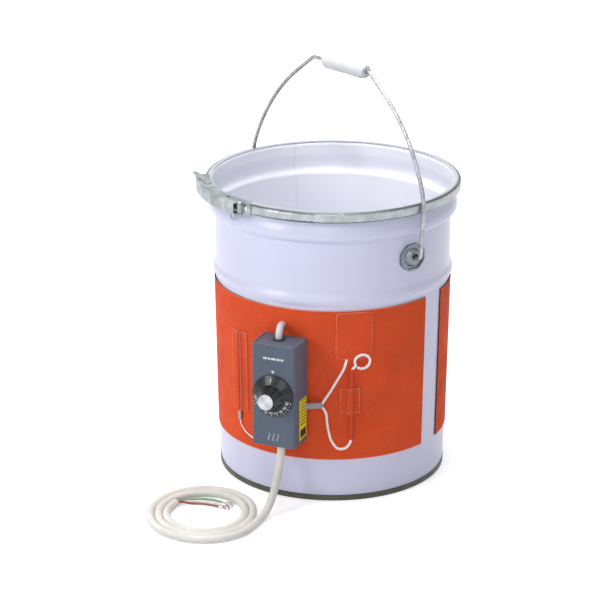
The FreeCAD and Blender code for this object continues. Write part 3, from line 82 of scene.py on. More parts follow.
class Tree:
    """A node tree while it is being drawn, with short ways to add and join its nodes."""

    def __init__(self, tree: bpy.types.NodeTree) -> None:
        """Starts on a tree.

        Args:
            tree: The node tree that the nodes go into.
        """
        self.tree = tree

    def add(self, kind: str, **settings: object) -> bpy.types.Node:
        """Adds a node.

        Args:
            kind: The node's type, without the leading "ShaderNode".
            **settings: Values of the node's own properties.

        Returns:
            The new node.
        """
        node = self.tree.nodes.new("ShaderNode" + kind)
        for name, value in settings.items():
            setattr(node, name, value)
        return node

    def feed(self, socket: Socket, value: "Socket | float | tuple") -> None:
        """Joins a socket to another, or gives it a plain value.

        Args:
            socket: The socket that is fed.
            value: The other socket, or the value.
        """
        if isinstance(value, bpy.types.NodeSocket):
            self.tree.links.new(value, socket)
        else:
            socket.default_value = value

    def sum(self, operation: str, *values: "Socket | float") -> Socket:
        """Works out a number.

        Args:
            operation: The Math node's operation, such as "MULTIPLY".
            *values: Its one to three inputs, each a socket or a number.

        Returns:
            The socket with the result.
        """
        node = self.add("Math", operation=operation)
        for socket, value in zip(node.inputs, values):
            self.feed(socket, value)
        return node.outputs[0]

    def times(self, first: "Socket | float", second: "Socket | float") -> Socket:
        """The product of two numbers."""
        return self.sum("MULTIPLY", first, second)

    def gap(self, first: "Socket | float", second: "Socket | float") -> Socket:
        """The distance between two numbers, whichever is larger."""
        return self.sum("ABSOLUTE", self.sum("SUBTRACT", first, second))

    def remap(self, value: Socket, low: float, high: float, first: float = 0.0,
              last: float = 1.0, smooth: bool = True) -> Socket:
        """Takes a value from one range to another and stops at its ends.

        Args:
            value: What is read.
            low: The reading that gives first.
            high: The reading that gives last.
            first: The result at low.
            last: The result at high.
            smooth: Whether the change eases in and out.

        Returns:
            The socket with the result.
        """
        node = self.add("MapRange", interpolation_type="SMOOTHSTEP" if smooth else "LINEAR")
        for name, number in (("Value", value), ("From Min", low), ("From Max", high),
                             ("To Min", first), ("To Max", last)):
            self.feed(node.inputs[name], number)
        return node.outputs["Result"]

    def noise(self, vector: Socket, scale: "Socket | float", detail: float = 3.0,
              roughness: float = 0.55) -> Socket:
        """Reads a noise.

        Args:
            vector: Where it is read.
            scale: How fine it is.
            detail: How many finer layers it has.
            roughness: How strong they are.

        Returns:
            A value about one half.
        """
        node = self.add("TexNoise")
        for name, value in (("Vector", vector), ("Scale", scale), ("Detail", detail),
                            ("Roughness", roughness)):
            self.feed(node.inputs[name], value)
        return node.outputs["Fac"]

    def blend(self, share: "Socket | float", first: "Socket | Colour",
              second: "Socket | Colour") -> Socket:
        """Mixes two colours.

        Args:
            share: The second colour's share.
            first: The colour at 0.
            second: The colour at 1.

        Returns:
            The mixed colour.
        """
        node = self.add("Mix", data_type="RGBA")
        self.feed(node.inputs[0], share)
        for socket, colour in ((node.inputs[6], first), (node.inputs[7], second)):
            self.feed(socket, (*colour, 1.0) if isinstance(colour, tuple) else colour)
        return node.outputs[2]

    def tint(self, colour: "Socket | Colour", factor: Socket) -> Socket:
        """Makes a colour lighter or darker.

        Args:
            colour: The colour.
            factor: What it is multiplied by.

        Returns:
            The new colour.
        """
        node = self.add("VectorMath", operation="SCALE")
        self.feed(node.inputs[0], colour)
        self.feed(node.inputs["Scale"], factor)
        return node.outputs[0]

    def split(self, vector: Socket) -> dict[str, Socket]:
        """Splits a vector.

        Args:
            vector: The vector.

        Returns:
            Its parts by the names X, Y and Z.
        """
        node = self.add("SeparateXYZ")
        self.feed(node.inputs[0], vector)
        return {axis.value: socket for axis, socket in zip(Axis, node.outputs)}

    def use(self, effect: bpy.types.NodeTree, **values: "Socket | float") -> Outputs:
        """Places a shared effect with its own values.

        Args:
            effect: The shader node group.
            **values: Its inputs by name, with _ for a space.

        Returns:
            Its outputs, to be read by name.
        """
        node = self.add("Group")
        node.node_tree = effect
        for name, value in values.items():
            self.feed(node.inputs[name.replace("_", " ")], value)
        return node.outputs


class Effect(Tree):
    """A shader node group with named inputs and outputs."""

    def __init__(self, name: str, inputs: dict[str, float | None], outputs: list[str]) -> None:
        """Starts a group.

        Args:
            name: The group's name.
            inputs: Each input and its usual value, or None for a vector.
            outputs: The names of the value outputs.
        """
        super().__init__(bpy.data.node_groups.new(name, "ShaderNodeTree"))
        sides = self.tree.interface
        for label, usual in inputs.items():
            kind = "NodeSocketVector" if usual is None else "NodeSocketFloat"
            socket = sides.new_socket(label, in_out="INPUT", socket_type=kind)
            if usual is not None:
                socket.default_value = usual
        for label in outputs:
            sides.new_socket(label, in_out="OUTPUT", socket_type="NodeSocketFloat")
        self.given = self.tree.nodes.new("NodeGroupInput").outputs
        self.result = self.tree.nodes.new("NodeGroupOutput").inputs

    def put(self, name: str, value: Socket) -> None:
        """Gives one of the group's outputs its value."""
        self.feed(self.result[name], value)


class Effects:
    """The effects that several finishes share, each built once."""

    def __init__(self) -> None:
        """Builds every group."""
        self.mottle = self._mottle()
        self.scuffs = self._scuffs()
        self.weave = self._weave()
        self.spangle = self._spangle()
        self.around = self._around()
        self.facing = self._facing()
        self.outline = self._outline()
        self.floor_dust = self._floor_dust()
        self.box_wear = self._box_wear()

    def _mottle(self) -> bpy.types.NodeTree:
        """Slow and fine unevenness between two values.

        Returns:
            The shader node group.
        """
        effect = Effect("Mottle", {"Vector": None, "Scale": 20.0, "Low": 0.9, "High": 1.1},
                        ["Value"])
        given = effect.given
        noise = effect.noise(given["Vector"], given["Scale"], 4.0, 0.5)
        share = effect.remap(noise, *NOISE_SPAN)
        span = effect.sum("SUBTRACT", given["High"], given["Low"])
        effect.put("Value", effect.sum("MULTIPLY_ADD", share, span, given["Low"]))
        return effect.tree

    def _scuffs(self) -> bpy.types.NodeTree:
        """Thin, sparse scratches.

        Returns:
            The shader node group.
        """
        effect = Effect("Scuffs", {"Vector": None, "Scale": 60.0, "Cover": 0.5}, ["Mask"])
        streaks = []
        for turn, stretch in ((0.5, 9.0), (2.2, 7.0)):
            lay = effect.add("Mapping")
            effect.feed(lay.inputs["Vector"], effect.given["Vector"])
            lay.inputs["Rotation"].default_value = (turn, turn * 0.6, turn * 1.3)
            lay.inputs["Scale"].default_value = (1.0, stretch, 1.0)
            lines = effect.noise(lay.outputs["Vector"], effect.given["Scale"], 2.0, 0.5)
            streaks.append(effect.remap(effect.gap(lines, 0.5), 0.0, 0.012, 1.0, 0.0))
        patches = effect.noise(effect.given["Vector"], 34.0, 2.0, 0.5)
        spare = effect.sum("SUBTRACT", 1.0, effect.given["Cover"])
        place = effect.sum("SUBTRACT", patches, effect.times(spare, 0.6))
        streak = effect.sum("MAXIMUM", *streaks)
        effect.put("Mask", effect.times(streak, effect.remap(place, 0.15, 0.3)))
        return effect.tree

    def _weave(self) -> bpy.types.NodeTree:
        """A plain cloth weave pressed into rubber.

        Returns:
            The shader node group.
        """
        effect = Effect("Weave", {"Vector": None, "Pitch": 0.0012}, ["Height", "Hollow"])
        part = effect.split(effect.given["Vector"])
        waves = []
        for axis in (Axis.X, Axis.Y):
            turn = effect.sum("DIVIDE", part[axis.value], effect.given["Pitch"])
            waves.append(effect.sum("SINE", effect.times(turn, 2 * math.pi)))
        height = effect.sum("MULTIPLY_ADD", effect.times(*waves), 0.5, 0.5)
        effect.put("Height", height)
        effect.put("Hollow", effect.remap(height, 0.35, 0.0))
        return effect.tree

    def _spangle(self) -> bpy.types.NodeTree:
        """The crystal patches of zinc, with the drawn grain of the sheet.

        Returns:
            The shader node group.
        """
        effect = Effect("Spangle", {"Vector": None, "Scale": 180.0}, ["Patch", "Grain"])
        cells = effect.add("TexVoronoi")
        for name in ("Vector", "Scale"):
            effect.feed(cells.inputs[name], effect.given[name])
        shade = effect.add("SeparateColor")
        effect.feed(shade.inputs[0], cells.outputs["Color"])
        effect.put("Patch", shade.outputs[0])
        effect.put("Grain", effect.noise(effect.given["Vector"], 1400.0, 2.0))
        return effect.tree

    def _around(self) -> bpy.types.NodeTree:
        """Turns a point into the way round the pail, the height and the distance out.

        Returns:
            The shader node group.
        """
        effect = Effect("Around", {"Vector": None, "Radius": 0.144},
                        ["Azimuth", "Along", "Height", "Distance"])
        part = effect.split(effect.given["Vector"])
        azimuth = effect.sum("ARCTAN2", part["X"], effect.times(part["Y"], -1.0))
        effect.put("Azimuth", azimuth)
        effect.put("Along", effect.times(azimuth, effect.given["Radius"]))
        effect.put("Height", part["Z"])
        square = effect.sum("ADD", effect.times(part["X"], part["X"]),
                            effect.times(part["Y"], part["Y"]))
        effect.put("Distance", effect.sum("SQRT", square))
        return effect.tree

    def _facing(self) -> bpy.types.NodeTree:
        """How far a surface faces away from the pail's axis: 1 outward, -1 inward.

        Returns:
            The shader node group.
        """
        effect = Effect("Facing", {"Vector": None}, ["Out"])
        flat = effect.add("VectorMath", operation="MULTIPLY")
        effect.feed(flat.inputs[0], effect.given["Vector"])
        flat.inputs[1].default_value = (1.0, 1.0, 0.0)
        out = effect.add("VectorMath", operation="NORMALIZE")
        effect.feed(out.inputs[0], flat.outputs[0])
        facing = effect.add("VectorMath", operation="DOT_PRODUCT")
        effect.feed(facing.inputs[0], out.outputs[0])
        effect.feed(facing.inputs[1], effect.add("NewGeometry").outputs["Normal"])
        effect.put("Out", facing.outputs["Value"])
        return effect.tree

    def _outline(self) -> bpy.types.NodeTree:
        """A thin line at a distance outside, or inside, a sheet with round corners.

        Returns:
            The shader node group.
        """
        inputs = {"Along": 0.0, "Height": 0.0, "Centre": 0.0, "Middle": 0.0, "Half Width": 0.01,
                  "Half Height": 0.01, "Corner": 0.001, "Offset": 0.0005, "Width": 0.0005}
        effect = Effect("Outline", inputs, ["Mask"])
        given = effect.given
        reach = []
        for way, centre, half in (("Along", "Centre", "Half Width"),
                                  ("Height", "Middle", "Half Height")):
            core = effect.sum("SUBTRACT", given[half], given["Corner"])
            reach.append(effect.sum("SUBTRACT", effect.gap(given[way], given[centre]), core))
        outside = [effect.sum("MAXIMUM", part, 0.0) for part in reach]
        square = effect.sum("ADD", *(effect.times(part, part) for part in outside))
        inside = effect.sum("MINIMUM", effect.sum("MAXIMUM", *reach), 0.0)
        distance = effect.sum("ADD", effect.sum("SQRT", square), inside)
        distance = effect.sum("SUBTRACT", distance, given["Corner"])
        share = effect.sum("DIVIDE", effect.gap(distance, given["Offset"]), given["Width"])
        effect.put("Mask", effect.remap(share, 0.4, 1.0, 1.0, 0.0))
        return effect.tree

    def _floor_dust(self) -> bpy.types.NodeTree:
        """Dust that thins out above the floor.

        Returns:
            The shader node group.
        """
        effect = Effect("Floor dust", {"Vector": None, "Reach": 0.03}, ["Mask"])
        height = effect.split(effect.given["Vector"])["Z"]
        share = effect.sum("DIVIDE", height, effect.given["Reach"])
        cloud = effect.remap(effect.noise(effect.given["Vector"], 45.0), 0.35, 0.65, 0.3, 1.0)
        fall = effect.remap(share, 0.0, 1.0, 1.0, 0.0)
        effect.put("Mask", effect.times(fall, cloud))
        return effect.tree

    def _box_wear(self) -> bpy.types.NodeTree:
        """Paint wear and a painted highlight along the upright and level edges of a box.

        Returns:
            The shader node group.
        """
        inputs = {"Vector": None, "Centre X": 0.0, "Centre Y": 0.0, "Centre Z": 0.0,
                  "Half X": 0.1, "Half Y": 0.1, "Half Z": 0.1, "Width": 0.001}
        effect = Effect("Box edge wear and highlight", inputs, ["Mask"])
        given = effect.given
        part = effect.split(given["Vector"])
        near = [effect.sum("SUBTRACT", given["Half " + name],
                           effect.gap(part[name], given["Centre " + name])) for name in part]

        def of_all(operation: str) -> Socket:
            """Joins the three distances by one operation."""
            return effect.sum(operation, effect.sum(operation, near[0], near[1]), near[2])

        spare = effect.sum("SUBTRACT", of_all("ADD"), of_all("MINIMUM"))
        middle = effect.sum("SUBTRACT", spare, of_all("MAXIMUM"))
        share = effect.sum("DIVIDE", middle, given["Width"])
        broken = effect.times(effect.noise(given["Vector"], 260.0, 4.0), 2.2)
        effect.put("Mask", effect.remap(effect.sum("ADD", share, broken), 1.05, 1.6, 1.0, 0.0))
        return effect.tree


class Skin(Tree):
    """A material while it is being drawn, with the shared effects at hand."""

    def __init__(self, name: str, effects: Effects) -> None:
        """Starts a material.

        Args:
            name: The material's name.
            effects: The shared node groups.
        """
        self.material = bpy.data.materials.new(name)
        self.material.use_nodes = True
        super().__init__(self.material.node_tree)
        self.shader = self.tree.nodes["Principled BSDF"]
        self.effects = effects
        self.place = self.add("TexCoord").outputs["Object"]

    def put(self, name: str, value: Socket) -> None:
        """Gives one of the shader's sockets a value that changes over the surface."""
        self.feed(self.shader.inputs[name], value)

    def uneven(self, scale: float, low: float, high: float) -> Socket:
        """Slow unevenness between two values."""
        return self.use(self.effects.mottle, Vector=self.place, Scale=scale, Low=low,
                        High=high)["Value"]

    def scuffs(self, scale: float, cover: float, share: float) -> Socket:
        """Thin scratches over a part of the surface, at a share of their full strength."""
        mask = self.use(self.effects.scuffs, Vector=self.place, Scale=scale, Cover=cover)
        return self.times(mask["Mask"], share)

    def around(self, radius: float) -> Outputs:
        """The way round the pail, the height and the distance out."""
        return self.use(self.effects.around, Vector=self.place, Radius=radius)

    def facing(self) -> Socket:
        """How far the surface faces away from the pail's axis."""
        return self.use(self.effects.facing, Vector=self.place)["Out"]

    def dust(self, reach: float, share: float) -> Socket:
        """Dust from the floor up to a height, at a share of its full strength."""
        mask = self.use(self.effects.floor_dust, Vector=self.place, Reach=reach)["Mask"]
        return self.times(mask, share)

    def raise_surface(self, height: Socket, distance: float, strength: float) -> None:
        """Feeds a height to the shader's normal.

        Args:
            height: The height, from 0 to 1.
            distance: How high 1 stands, in metres.
            strength: The share of the effect.
        """
        bump = self.add("Bump")
        for name, value in (("Height", height), ("Distance", distance), ("Strength", strength)):
            self.feed(bump.inputs[name], value)
        self.put("Normal", bump.outputs["Normal"])


# Finishes


@dataclass(frozen=True)
class Finish:
    """One surface finish: its even values, and the detail that each kind draws."""

    name: str
    colour: Colour
    roughness: float
    metallic: float = 0.0
    coat: float = 0.0
    specular: float = 0.5
    coat_roughness: float = 0.16

    def build(self, effects: Effects) -> bpy.types.Material:
        """Builds the material.

        Args:
            effects: The shared node groups.

        Returns:
            The finished material.
        """
        skin = Skin(self.name, effects)
        even = {"Base Color": (*self.colour, 1.0), "Roughness": self.roughness,
                "Metallic": self.metallic, "Coat Weight": self.coat,
                "Coat Roughness": self.coat_roughness, "Specular IOR Level": self.specular}
        for name, value in even.items():
            skin.shader.inputs[name].default_value = value
        skin.material.diffuse_color = (*self.colour, 1.0)
        self.detail(skin)
        return skin.material

    def detail(self, skin: Skin) -> None:
        """Draws what changes over the surface, each kind of finish in its own way.

        Args:
            skin: The material.

        Raises:
            NotImplementedError: If a kind of finish leaves this out.
        """
        raise NotImplementedError

    def dull(self, skin: Skin, scale: float, low: float, high: float) -> Socket:
        """The finish's roughness, uneven between two shares of itself."""
        return skin.uneven(scale, self.roughness * low, self.roughness * high)


@dataclass(frozen=True)
class Enamel(Finish):
    """Gloss enamel on the pail, with a weld seam, dust at the foot and a dark chime."""

    wall_radius: float = 0.1436
    foot_radius: float = 0.1370
    foot_blur: float = 0.0005
    seam_azimuth: float = -139.0
    seam_width: float = 0.0016
    seam_colour: Colour = (0.55, 0.54, 0.68)
    seam_share: float = 0.20
    chime_colour: Colour = (0.060, 0.062, 0.036)
    chime_radius: float = 0.1364
    chime_blur: float = 0.0002
    chime_top: float = 0.0078
    chime_dullness: float = 0.18
    dust_colour: Colour = (0.50, 0.48, 0.45)
    dust_reach: float = 0.035
    dust_share: float = 0.10
    # Partly a paler inner coat, partly painted light that brightens the inside.
    inner_colour: Colour = (0.88, 0.885, 0.960)
    inner_dullness: float = 0.15
    peel_share: float = 0.06

    def detail(self, skin: Skin) -> None:
        """Draws the seam, the dust, the lacquered chime, a faint orange peel and the paler
        inside, which is partly painted light.

        Args:
            skin: The material.
        """
        around = skin.around(self.wall_radius)
        distance = around["Distance"]
        # Paler inside: partly a paler inner coat, partly painted light.
        inner = skin.remap(skin.facing(), 0.35, 0.05)
        colour = skin.blend(inner, self.colour, self.inner_colour)
        colour = skin.tint(colour, skin.uneven(6.0, 0.985, 1.01))
        turn = skin.gap(around["Azimuth"], math.radians(self.seam_azimuth))
        away = skin.times(turn, self.wall_radius)
        line = skin.remap(away, self.seam_width * 0.25, self.seam_width, 1.0, 0.0)
        on_wall = skin.remap(distance, self.foot_radius - self.foot_blur,
                             self.foot_radius + self.foot_blur)
        seam = skin.times(line, on_wall)
        colour = skin.blend(skin.times(seam, self.seam_share), colour, self.seam_colour)
        dusty = skin.dust(self.dust_reach, self.dust_share)
        colour = skin.blend(dusty, colour, self.dust_colour)
        outside = skin.remap(distance, self.chime_radius - self.chime_blur,
                             self.chime_radius + self.chime_blur)
        low = skin.remap(around["Height"], self.chime_top, self.chime_top - 0.0005)
        chime = skin.times(outside, low)
        lacquer = skin.tint(self.chime_colour, skin.uneven(40.0, 0.75, 1.3))
        skin.put("Base Color", skin.blend(chime, colour, lacquer))
        rough = skin.sum("ADD", self.dull(skin, 12.0, 0.96, 1.04), dusty)
        for place, share in ((chime, self.chime_dullness), (inner, self.inner_dullness)):
            rough = skin.sum("ADD", rough, skin.times(place, share))
        skin.put("Roughness", rough)
        peel = skin.times(skin.noise(skin.place, 420.0, 2.0), self.peel_share)
        skin.raise_surface(skin.sum("ADD", peel, seam), 0.00025, 0.3)


@dataclass(frozen=True)
class Zinc(Finish):
    """Galvanised or zinc-plated steel with crystal patches, white bloom and scratches.

    A rim is the lock ring's inner and outer radius, between which its lip and edge lie.
    """

    patch_scale: float = 420.0
    contrast: float = 0.08
    cloud: float = 0.14
    bloom: float = 0.10
    bloom_colour: Colour = (0.56, 0.60, 0.60)
    scratch_colour: Colour = (0.72, 0.73, 0.75)
    scratch_share: float = 0.16
    lip_colour: Colour = (0.70, 0.72, 0.82)
    # The dark line on the rim's outer edge is painted shade and dark reflection.
    edge_colour: Colour = (0.07, 0.08, 0.09)
    rim: tuple[float, float] | None = None
    lip_width: float = 0.0010
    edge_width: float = 0.0008

    def detail(self, skin: Skin) -> None:
        """Draws the crystal patches, the bloom, the scratches and the rim, if it has one.

        Args:
            skin: The material.
        """
        spangle = skin.use(skin.effects.spangle, Vector=skin.place, Scale=self.patch_scale)
        patch = spangle["Patch"]
        shade = skin.remap(patch, 0.0, 1.0, 1.0 - self.contrast, 1.0 + self.contrast, False)
        cloud = skin.uneven(85.0, 1.0 - self.cloud, 1.0 + self.cloud)
        colour = skin.tint(self.colour, skin.times(shade, cloud))
        bloom = skin.remap(skin.noise(skin.place, 130.0, 5.0), 0.45, 0.75, 0.0, self.bloom)
        colour = skin.blend(bloom, colour, self.bloom_colour)
        colour = skin.blend(skin.scuffs(110.0, 0.55, self.scratch_share), colour,
                            self.scratch_colour)
        if self.rim is not None:
            colour = self._rim(skin, colour)
        skin.put("Base Color", colour)
        rough = skin.remap(patch, 0.0, 1.0, self.roughness * 0.8, self.roughness * 1.25, False)
        skin.put("Roughness", skin.sum("ADD", rough, skin.times(bloom, 0.35)))
        skin.put("Metallic", skin.remap(bloom, 0.0, self.bloom, self.metallic,
                                        self.metallic * 0.8, False))
        height = skin.sum("ADD", skin.times(spangle["Grain"], 0.5), skin.times(patch, 0.04))
        skin.raise_surface(height, 0.00005, 0.3)

    def _rim(self, skin: Skin, colour: Socket) -> Socket:
        """Draws the ring's paler inner lip, rubbed by wear, and a dark line of painted shade
        and dark reflection along its outer edge.

        Args:
            skin: The material.
            colour: The colour so far.

        Returns:
            The colour with these added.
        """
        inner, outer = self.rim
        distance = skin.around(1.0)["Distance"]
        lip = skin.remap(distance, inner + self.lip_width, inner, 0.0, 0.75)
        colour = skin.blend(lip, colour, self.lip_colour)
        # Painted shade and dark reflection: a dark line along the outer edge of the ring's top.
        edge = skin.times(skin.remap(distance, outer - self.edge_width, outer, 0.0, 0.85),
                          skin.remap(skin.facing(), 0.95, 0.80))
        return skin.blend(edge, colour, self.edge_colour)


@dataclass(frozen=True)
class Overlay:
    """The outline of a small sheet on the band: degrees round the pail, and heights."""

    first: float
    last: float
    low: float
    high: float
    corner: float


@dataclass(frozen=True)
class Silicone(Finish):
    """Orange-red silicone rubber with cloth in it and the heating wires just showing."""

    pitch: float = 0.0011
    wires: bool = False
    radius: float = 0.1455
    low: float = 0.055
    high: float = 0.2465
    wire_pitch: float = 0.0085
    wire_relief: float = 0.30
    wire_margin: tuple[float, float] = (0.0065, 0.0095)
    groove_inset: float = 0.0062
    groove_width: tuple[float, float] = (0.0002, 0.0009)
    groove_relief: float = 0.25
    # Pale rims: a painted highlight along the band's top and bottom edges.
    rim_width: tuple[float, float] = (0.0011, 0.0004)
    rim_share: float = 0.75
    weave_relief: float = 0.35
    # The share of the colour kept where shade is painted.
    shadow: float = 0.55
    # The pale colour of painted highlights on edges and rims, and of scuffs.
    edge_colour: Colour = (0.86, 0.34, 0.24)
    grime_colour: Colour = (0.035, 0.012, 0.010)
    front_azimuth: float = 22.0
    overlays: tuple[Overlay, ...] = (
        Overlay(23.6, 41.2, 0.1855, 0.2445, 0.006),
        Overlay(-34.6, -22.8, 0.0990, 0.2020, 0.0002),
        Overlay(25.7, 35.4, 0.1155, 0.1478, 0.0002),
    )

    def detail(self, skin: Skin) -> None:
        """Draws the weave with painted shade in its hollows, pale cut edges of painted
        highlight, outlines of painted shadow and highlight, and the buried wires.

        Args:
            skin: The material.
        """
        around = skin.around(self.radius)
        sheet = skin.add("CombineXYZ")
        skin.feed(sheet.inputs[0], around["Along"])
        skin.feed(sheet.inputs[1], around["Height"])
        weave = skin.use(skin.effects.weave, Vector=sheet.outputs[0], Pitch=self.pitch)
        fleck = skin.remap(skin.noise(skin.place, 700.0, 3.0), *NOISE_SPAN, 0.93, 1.07)
        colour = skin.tint(self.colour, skin.times(skin.uneven(14.0, 0.90, 1.06), fleck))
        painted_shade_colour = tuple(part * self.shadow for part in self.colour)
        # Painted shade: the weave's hollows are darkened.
        colour = skin.blend(skin.times(weave["Hollow"], 0.18), colour, painted_shade_colour)
        height = skin.times(weave["Height"], self.weave_relief)
        if self.wires:
            height, colour = self._wires(skin, around["Height"], height, colour)
        colour = skin.blend(skin.scuffs(38.0, 0.35, 0.10), colour, self.edge_colour)
        facing = skin.facing()
        line = self._outlines(skin, around)
        if self.wires:
            # On the band: painted shadow, a dark line just outside each overlay.
            colour = skin.blend(skin.times(line, 0.60), colour, painted_shade_colour)
        else:
            # On the overlays: painted shade on the sides of their ridges, and a broken pale
            # line of painted highlight just inside their edges.
            colour = skin.blend(skin.remap(facing, 0.97, 0.70, 0.0, 0.55), colour, painted_shade_colour)
            broken = skin.remap(skin.noise(skin.place, 160.0, 2.0), 0.35, 0.60, 0.20, 0.60)
            colour = skin.blend(skin.times(line, broken), colour, self.edge_colour)
        skin.put("Base Color", self._cut_edges(skin, around["Azimuth"], facing, colour))
        skin.put("Roughness", self.dull(skin, 50.0, 0.88, 1.1))
        skin.raise_surface(height, 0.0003, 0.5)

    def _outlines(self, skin: Skin, around: Outputs) -> Socket:
        """The lines of painted shadow just outside the overlays on the band, or of painted
        highlight just inside on themselves.

        Args:
            skin: The material.
            around: The way round the pail and the height.

        Returns:
            The lines' mask.
        """
        scale = math.radians(1.0) * self.radius
        lines = []
        for sheet in self.overlays:
            line = skin.use(skin.effects.outline, Along=around["Along"],
                            Height=around["Height"],
                            Centre=(sheet.first + sheet.last) / 2 * scale,
                            Middle=(sheet.low + sheet.high) / 2,
                            Half_Width=(sheet.last - sheet.first) / 2 * scale,
                            Half_Height=(sheet.high - sheet.low) / 2, Corner=sheet.corner,
                            Offset=0.0006 if self.wires else -0.0006,
                            Width=0.0009 if self.wires else 0.0006)
            lines.append(line["Mask"])
        whole = lines[0]
        for line in lines[1:]:
            whole = skin.sum("MAXIMUM", whole, line)
        return whole

    def _cut_edges(self, skin: Skin, azimuth: Socket, facing: Socket,
                   colour: Socket) -> Socket:
        """Colours the sheet's cut edges: a pale painted highlight, and painted shadow on the
        band's far sides.

        Args:
            skin: The material.
            azimuth: The way round the pail.
            facing: How far the surface faces away from the pail's axis.
            colour: The colour so far.

        Returns:
            The colour with the edges.
        """
        # Painted highlight on the pale cut edges; on the band, painted shadow towards its far
        # sides, away from the front.
        edge = skin.remap(skin.sum("ABSOLUTE", facing), 0.55, 0.30)
        colour_there = self.edge_colour
        if self.wires:
            turn = skin.sum("SUBTRACT", azimuth, math.radians(self.front_azimuth))
            side = skin.sum("ABSOLUTE", skin.sum("SINE", turn))
            colour_there = skin.blend(skin.remap(side, 0.35, 0.75), self.edge_colour,
                                      self.grime_colour)
        return skin.blend(edge, colour, colour_there)

    def _wires(self, skin: Skin, rise: Socket, height: Socket,
               colour: Socket) -> tuple[Socket, Socket]:
        """Draws the band's pale rims, a painted highlight along its edges, its pressed border
        and the wires under the cloth.

        Args:
            skin: The material.
            rise: The height above the floor.
            height: The surface's relief so far.
            colour: Its colour so far.

        Returns:
            The relief and the colour with these added.
        """
        half = (self.high - self.low) / 2
        away = skin.gap(rise, (self.low + self.high) / 2)
        turn = skin.sum("DIVIDE", rise, self.wire_pitch)
        wave = skin.sum("SINE", skin.times(turn, 2 * math.pi))
        inside = skin.remap(away, *(half - inset for inset in self.wire_margin))
        ridge = skin.times(skin.remap(wave, 0.55, 1.0), inside)
        height = skin.sum("ADD", height, skin.times(ridge, self.wire_relief))
        border = skin.gap(away, half - self.groove_inset)
        groove = skin.remap(border, *self.groove_width, 1.0, 0.0)
        height = skin.sum("SUBTRACT", height, skin.times(groove, self.groove_relief))
        # Painted highlight: pale rims along the band's top and bottom edges.
        rim = skin.remap(away, *(half - inset for inset in self.rim_width), 0.0, self.rim_share)
        return height, skin.blend(rim, colour, self.edge_colour)


@dataclass(frozen=True)
class BoxPaint(Finish):
    """Textured paint on the control box, paler on its edges: paint wear and a painted
    highlight.
    """

    centre: Point = (0.0, -0.1661, 0.1491)
    half: Point = (0.0273, 0.0191, 0.0643)
    worn_colour: Colour = (0.30, 0.33, 0.37)
    worn_width: float = 0.0011
    worn_share: float = 0.55
    mark_share: float = 0.06

    def detail(self, skin: Skin) -> None:
        """Draws the paint's fine texture, its paler edges of wear and painted highlight, and a
        few handling marks.

        Args:
            skin: The material.
        """
        speck = skin.remap(skin.noise(skin.place, 1500.0, 2.0), *NOISE_SPAN, 0.9, 1.1)
        colour = skin.tint(self.colour, skin.times(skin.uneven(30.0, 0.93, 1.06), speck))
        sides = {f"{label}_{axis.value}": size
                 for label, sizes in (("Centre", self.centre), ("Half", self.half))
                 for axis, size in zip(Axis, sizes)}
        # Paler edges: partly paint wear, partly a painted highlight along them.
        wear = skin.use(skin.effects.box_wear, Vector=skin.place, Width=self.worn_width,
                        **sides)
        wear_and_highlight = skin.times(wear["Mask"], self.worn_share)
        for share in (wear_and_highlight, skin.scuffs(90.0, 0.5, self.mark_share)):
            colour = skin.blend(share, colour, self.worn_colour)
        skin.put("Base Color", colour)
        skin.put("Roughness", skin.sum("SUBTRACT", self.dull(skin, 70.0, 0.85, 1.15),
                                       skin.times(wear_and_highlight, 0.15)))
        skin.raise_surface(skin.noise(skin.place, 1100.0, 3.0), 0.00012, 0.35)


@dataclass(frozen=True)
class Moulded(Finish):
    """Moulded plastic or rubber with a fine texture and thin, duller scratches."""

    scratch_colour: Colour = (0.25, 0.25, 0.26)
    scratch_share: float = 0.15
    texture: float = 0.25

    def detail(self, skin: Skin) -> None:
        """Draws the mould's texture and the scratches.

        Args:
            skin: The material.
        """
        colour = skin.tint(self.colour, skin.uneven(45.0, 0.92, 1.06))
        marks = skin.scuffs(120.0, 0.55, self.scratch_share)
        skin.put("Base Color", skin.blend(marks, colour, self.scratch_colour))
        skin.put("Roughness", skin.sum("ADD", self.dull(skin, 90.0, 0.8, 1.25),
                                       skin.times(marks, 0.8)))
        skin.raise_surface(skin.noise(skin.place, 1300.0, 2.0), 0.00006, self.texture)


@dataclass(frozen=True)
class SpunDisc(Finish):
    """Turned aluminium on the dial's end, with rings round its centre."""

    centre_height: float = 0.1497
    ring_pitch: float = 0.00045

    def detail(self, skin: Skin) -> None:
        """Draws the turned rings and the fan of light that they give.

        Args:
            skin: The material.
        """
        part = skin.split(skin.place)
        rise = skin.sum("SUBTRACT", part["Z"], self.centre_height)
        square = skin.sum("ADD", skin.times(part["X"], part["X"]), skin.times(rise, rise))
        turn = skin.times(skin.sum("SQRT", square), 2 * math.pi / self.ring_pitch)
        rings = skin.sum("MULTIPLY_ADD", skin.sum("SINE", turn), 0.5, 0.5)
        angle = skin.times(skin.sum("ARCTAN2", part["X"], rise), 2.0)
        fan = skin.sum("MULTIPLY_ADD", skin.sum("SINE", angle), 0.18, 0.95)
        shade = skin.times(skin.uneven(220.0, 0.94, 1.04), fan)
        skin.put("Base Color", skin.tint(self.colour, shade))
        skin.put("Roughness", skin.remap(rings, 0.0, 1.0, self.roughness * 0.8,
                                         self.roughness * 1.3, False))
        skin.raise_surface(rings, 0.00005, 0.5)


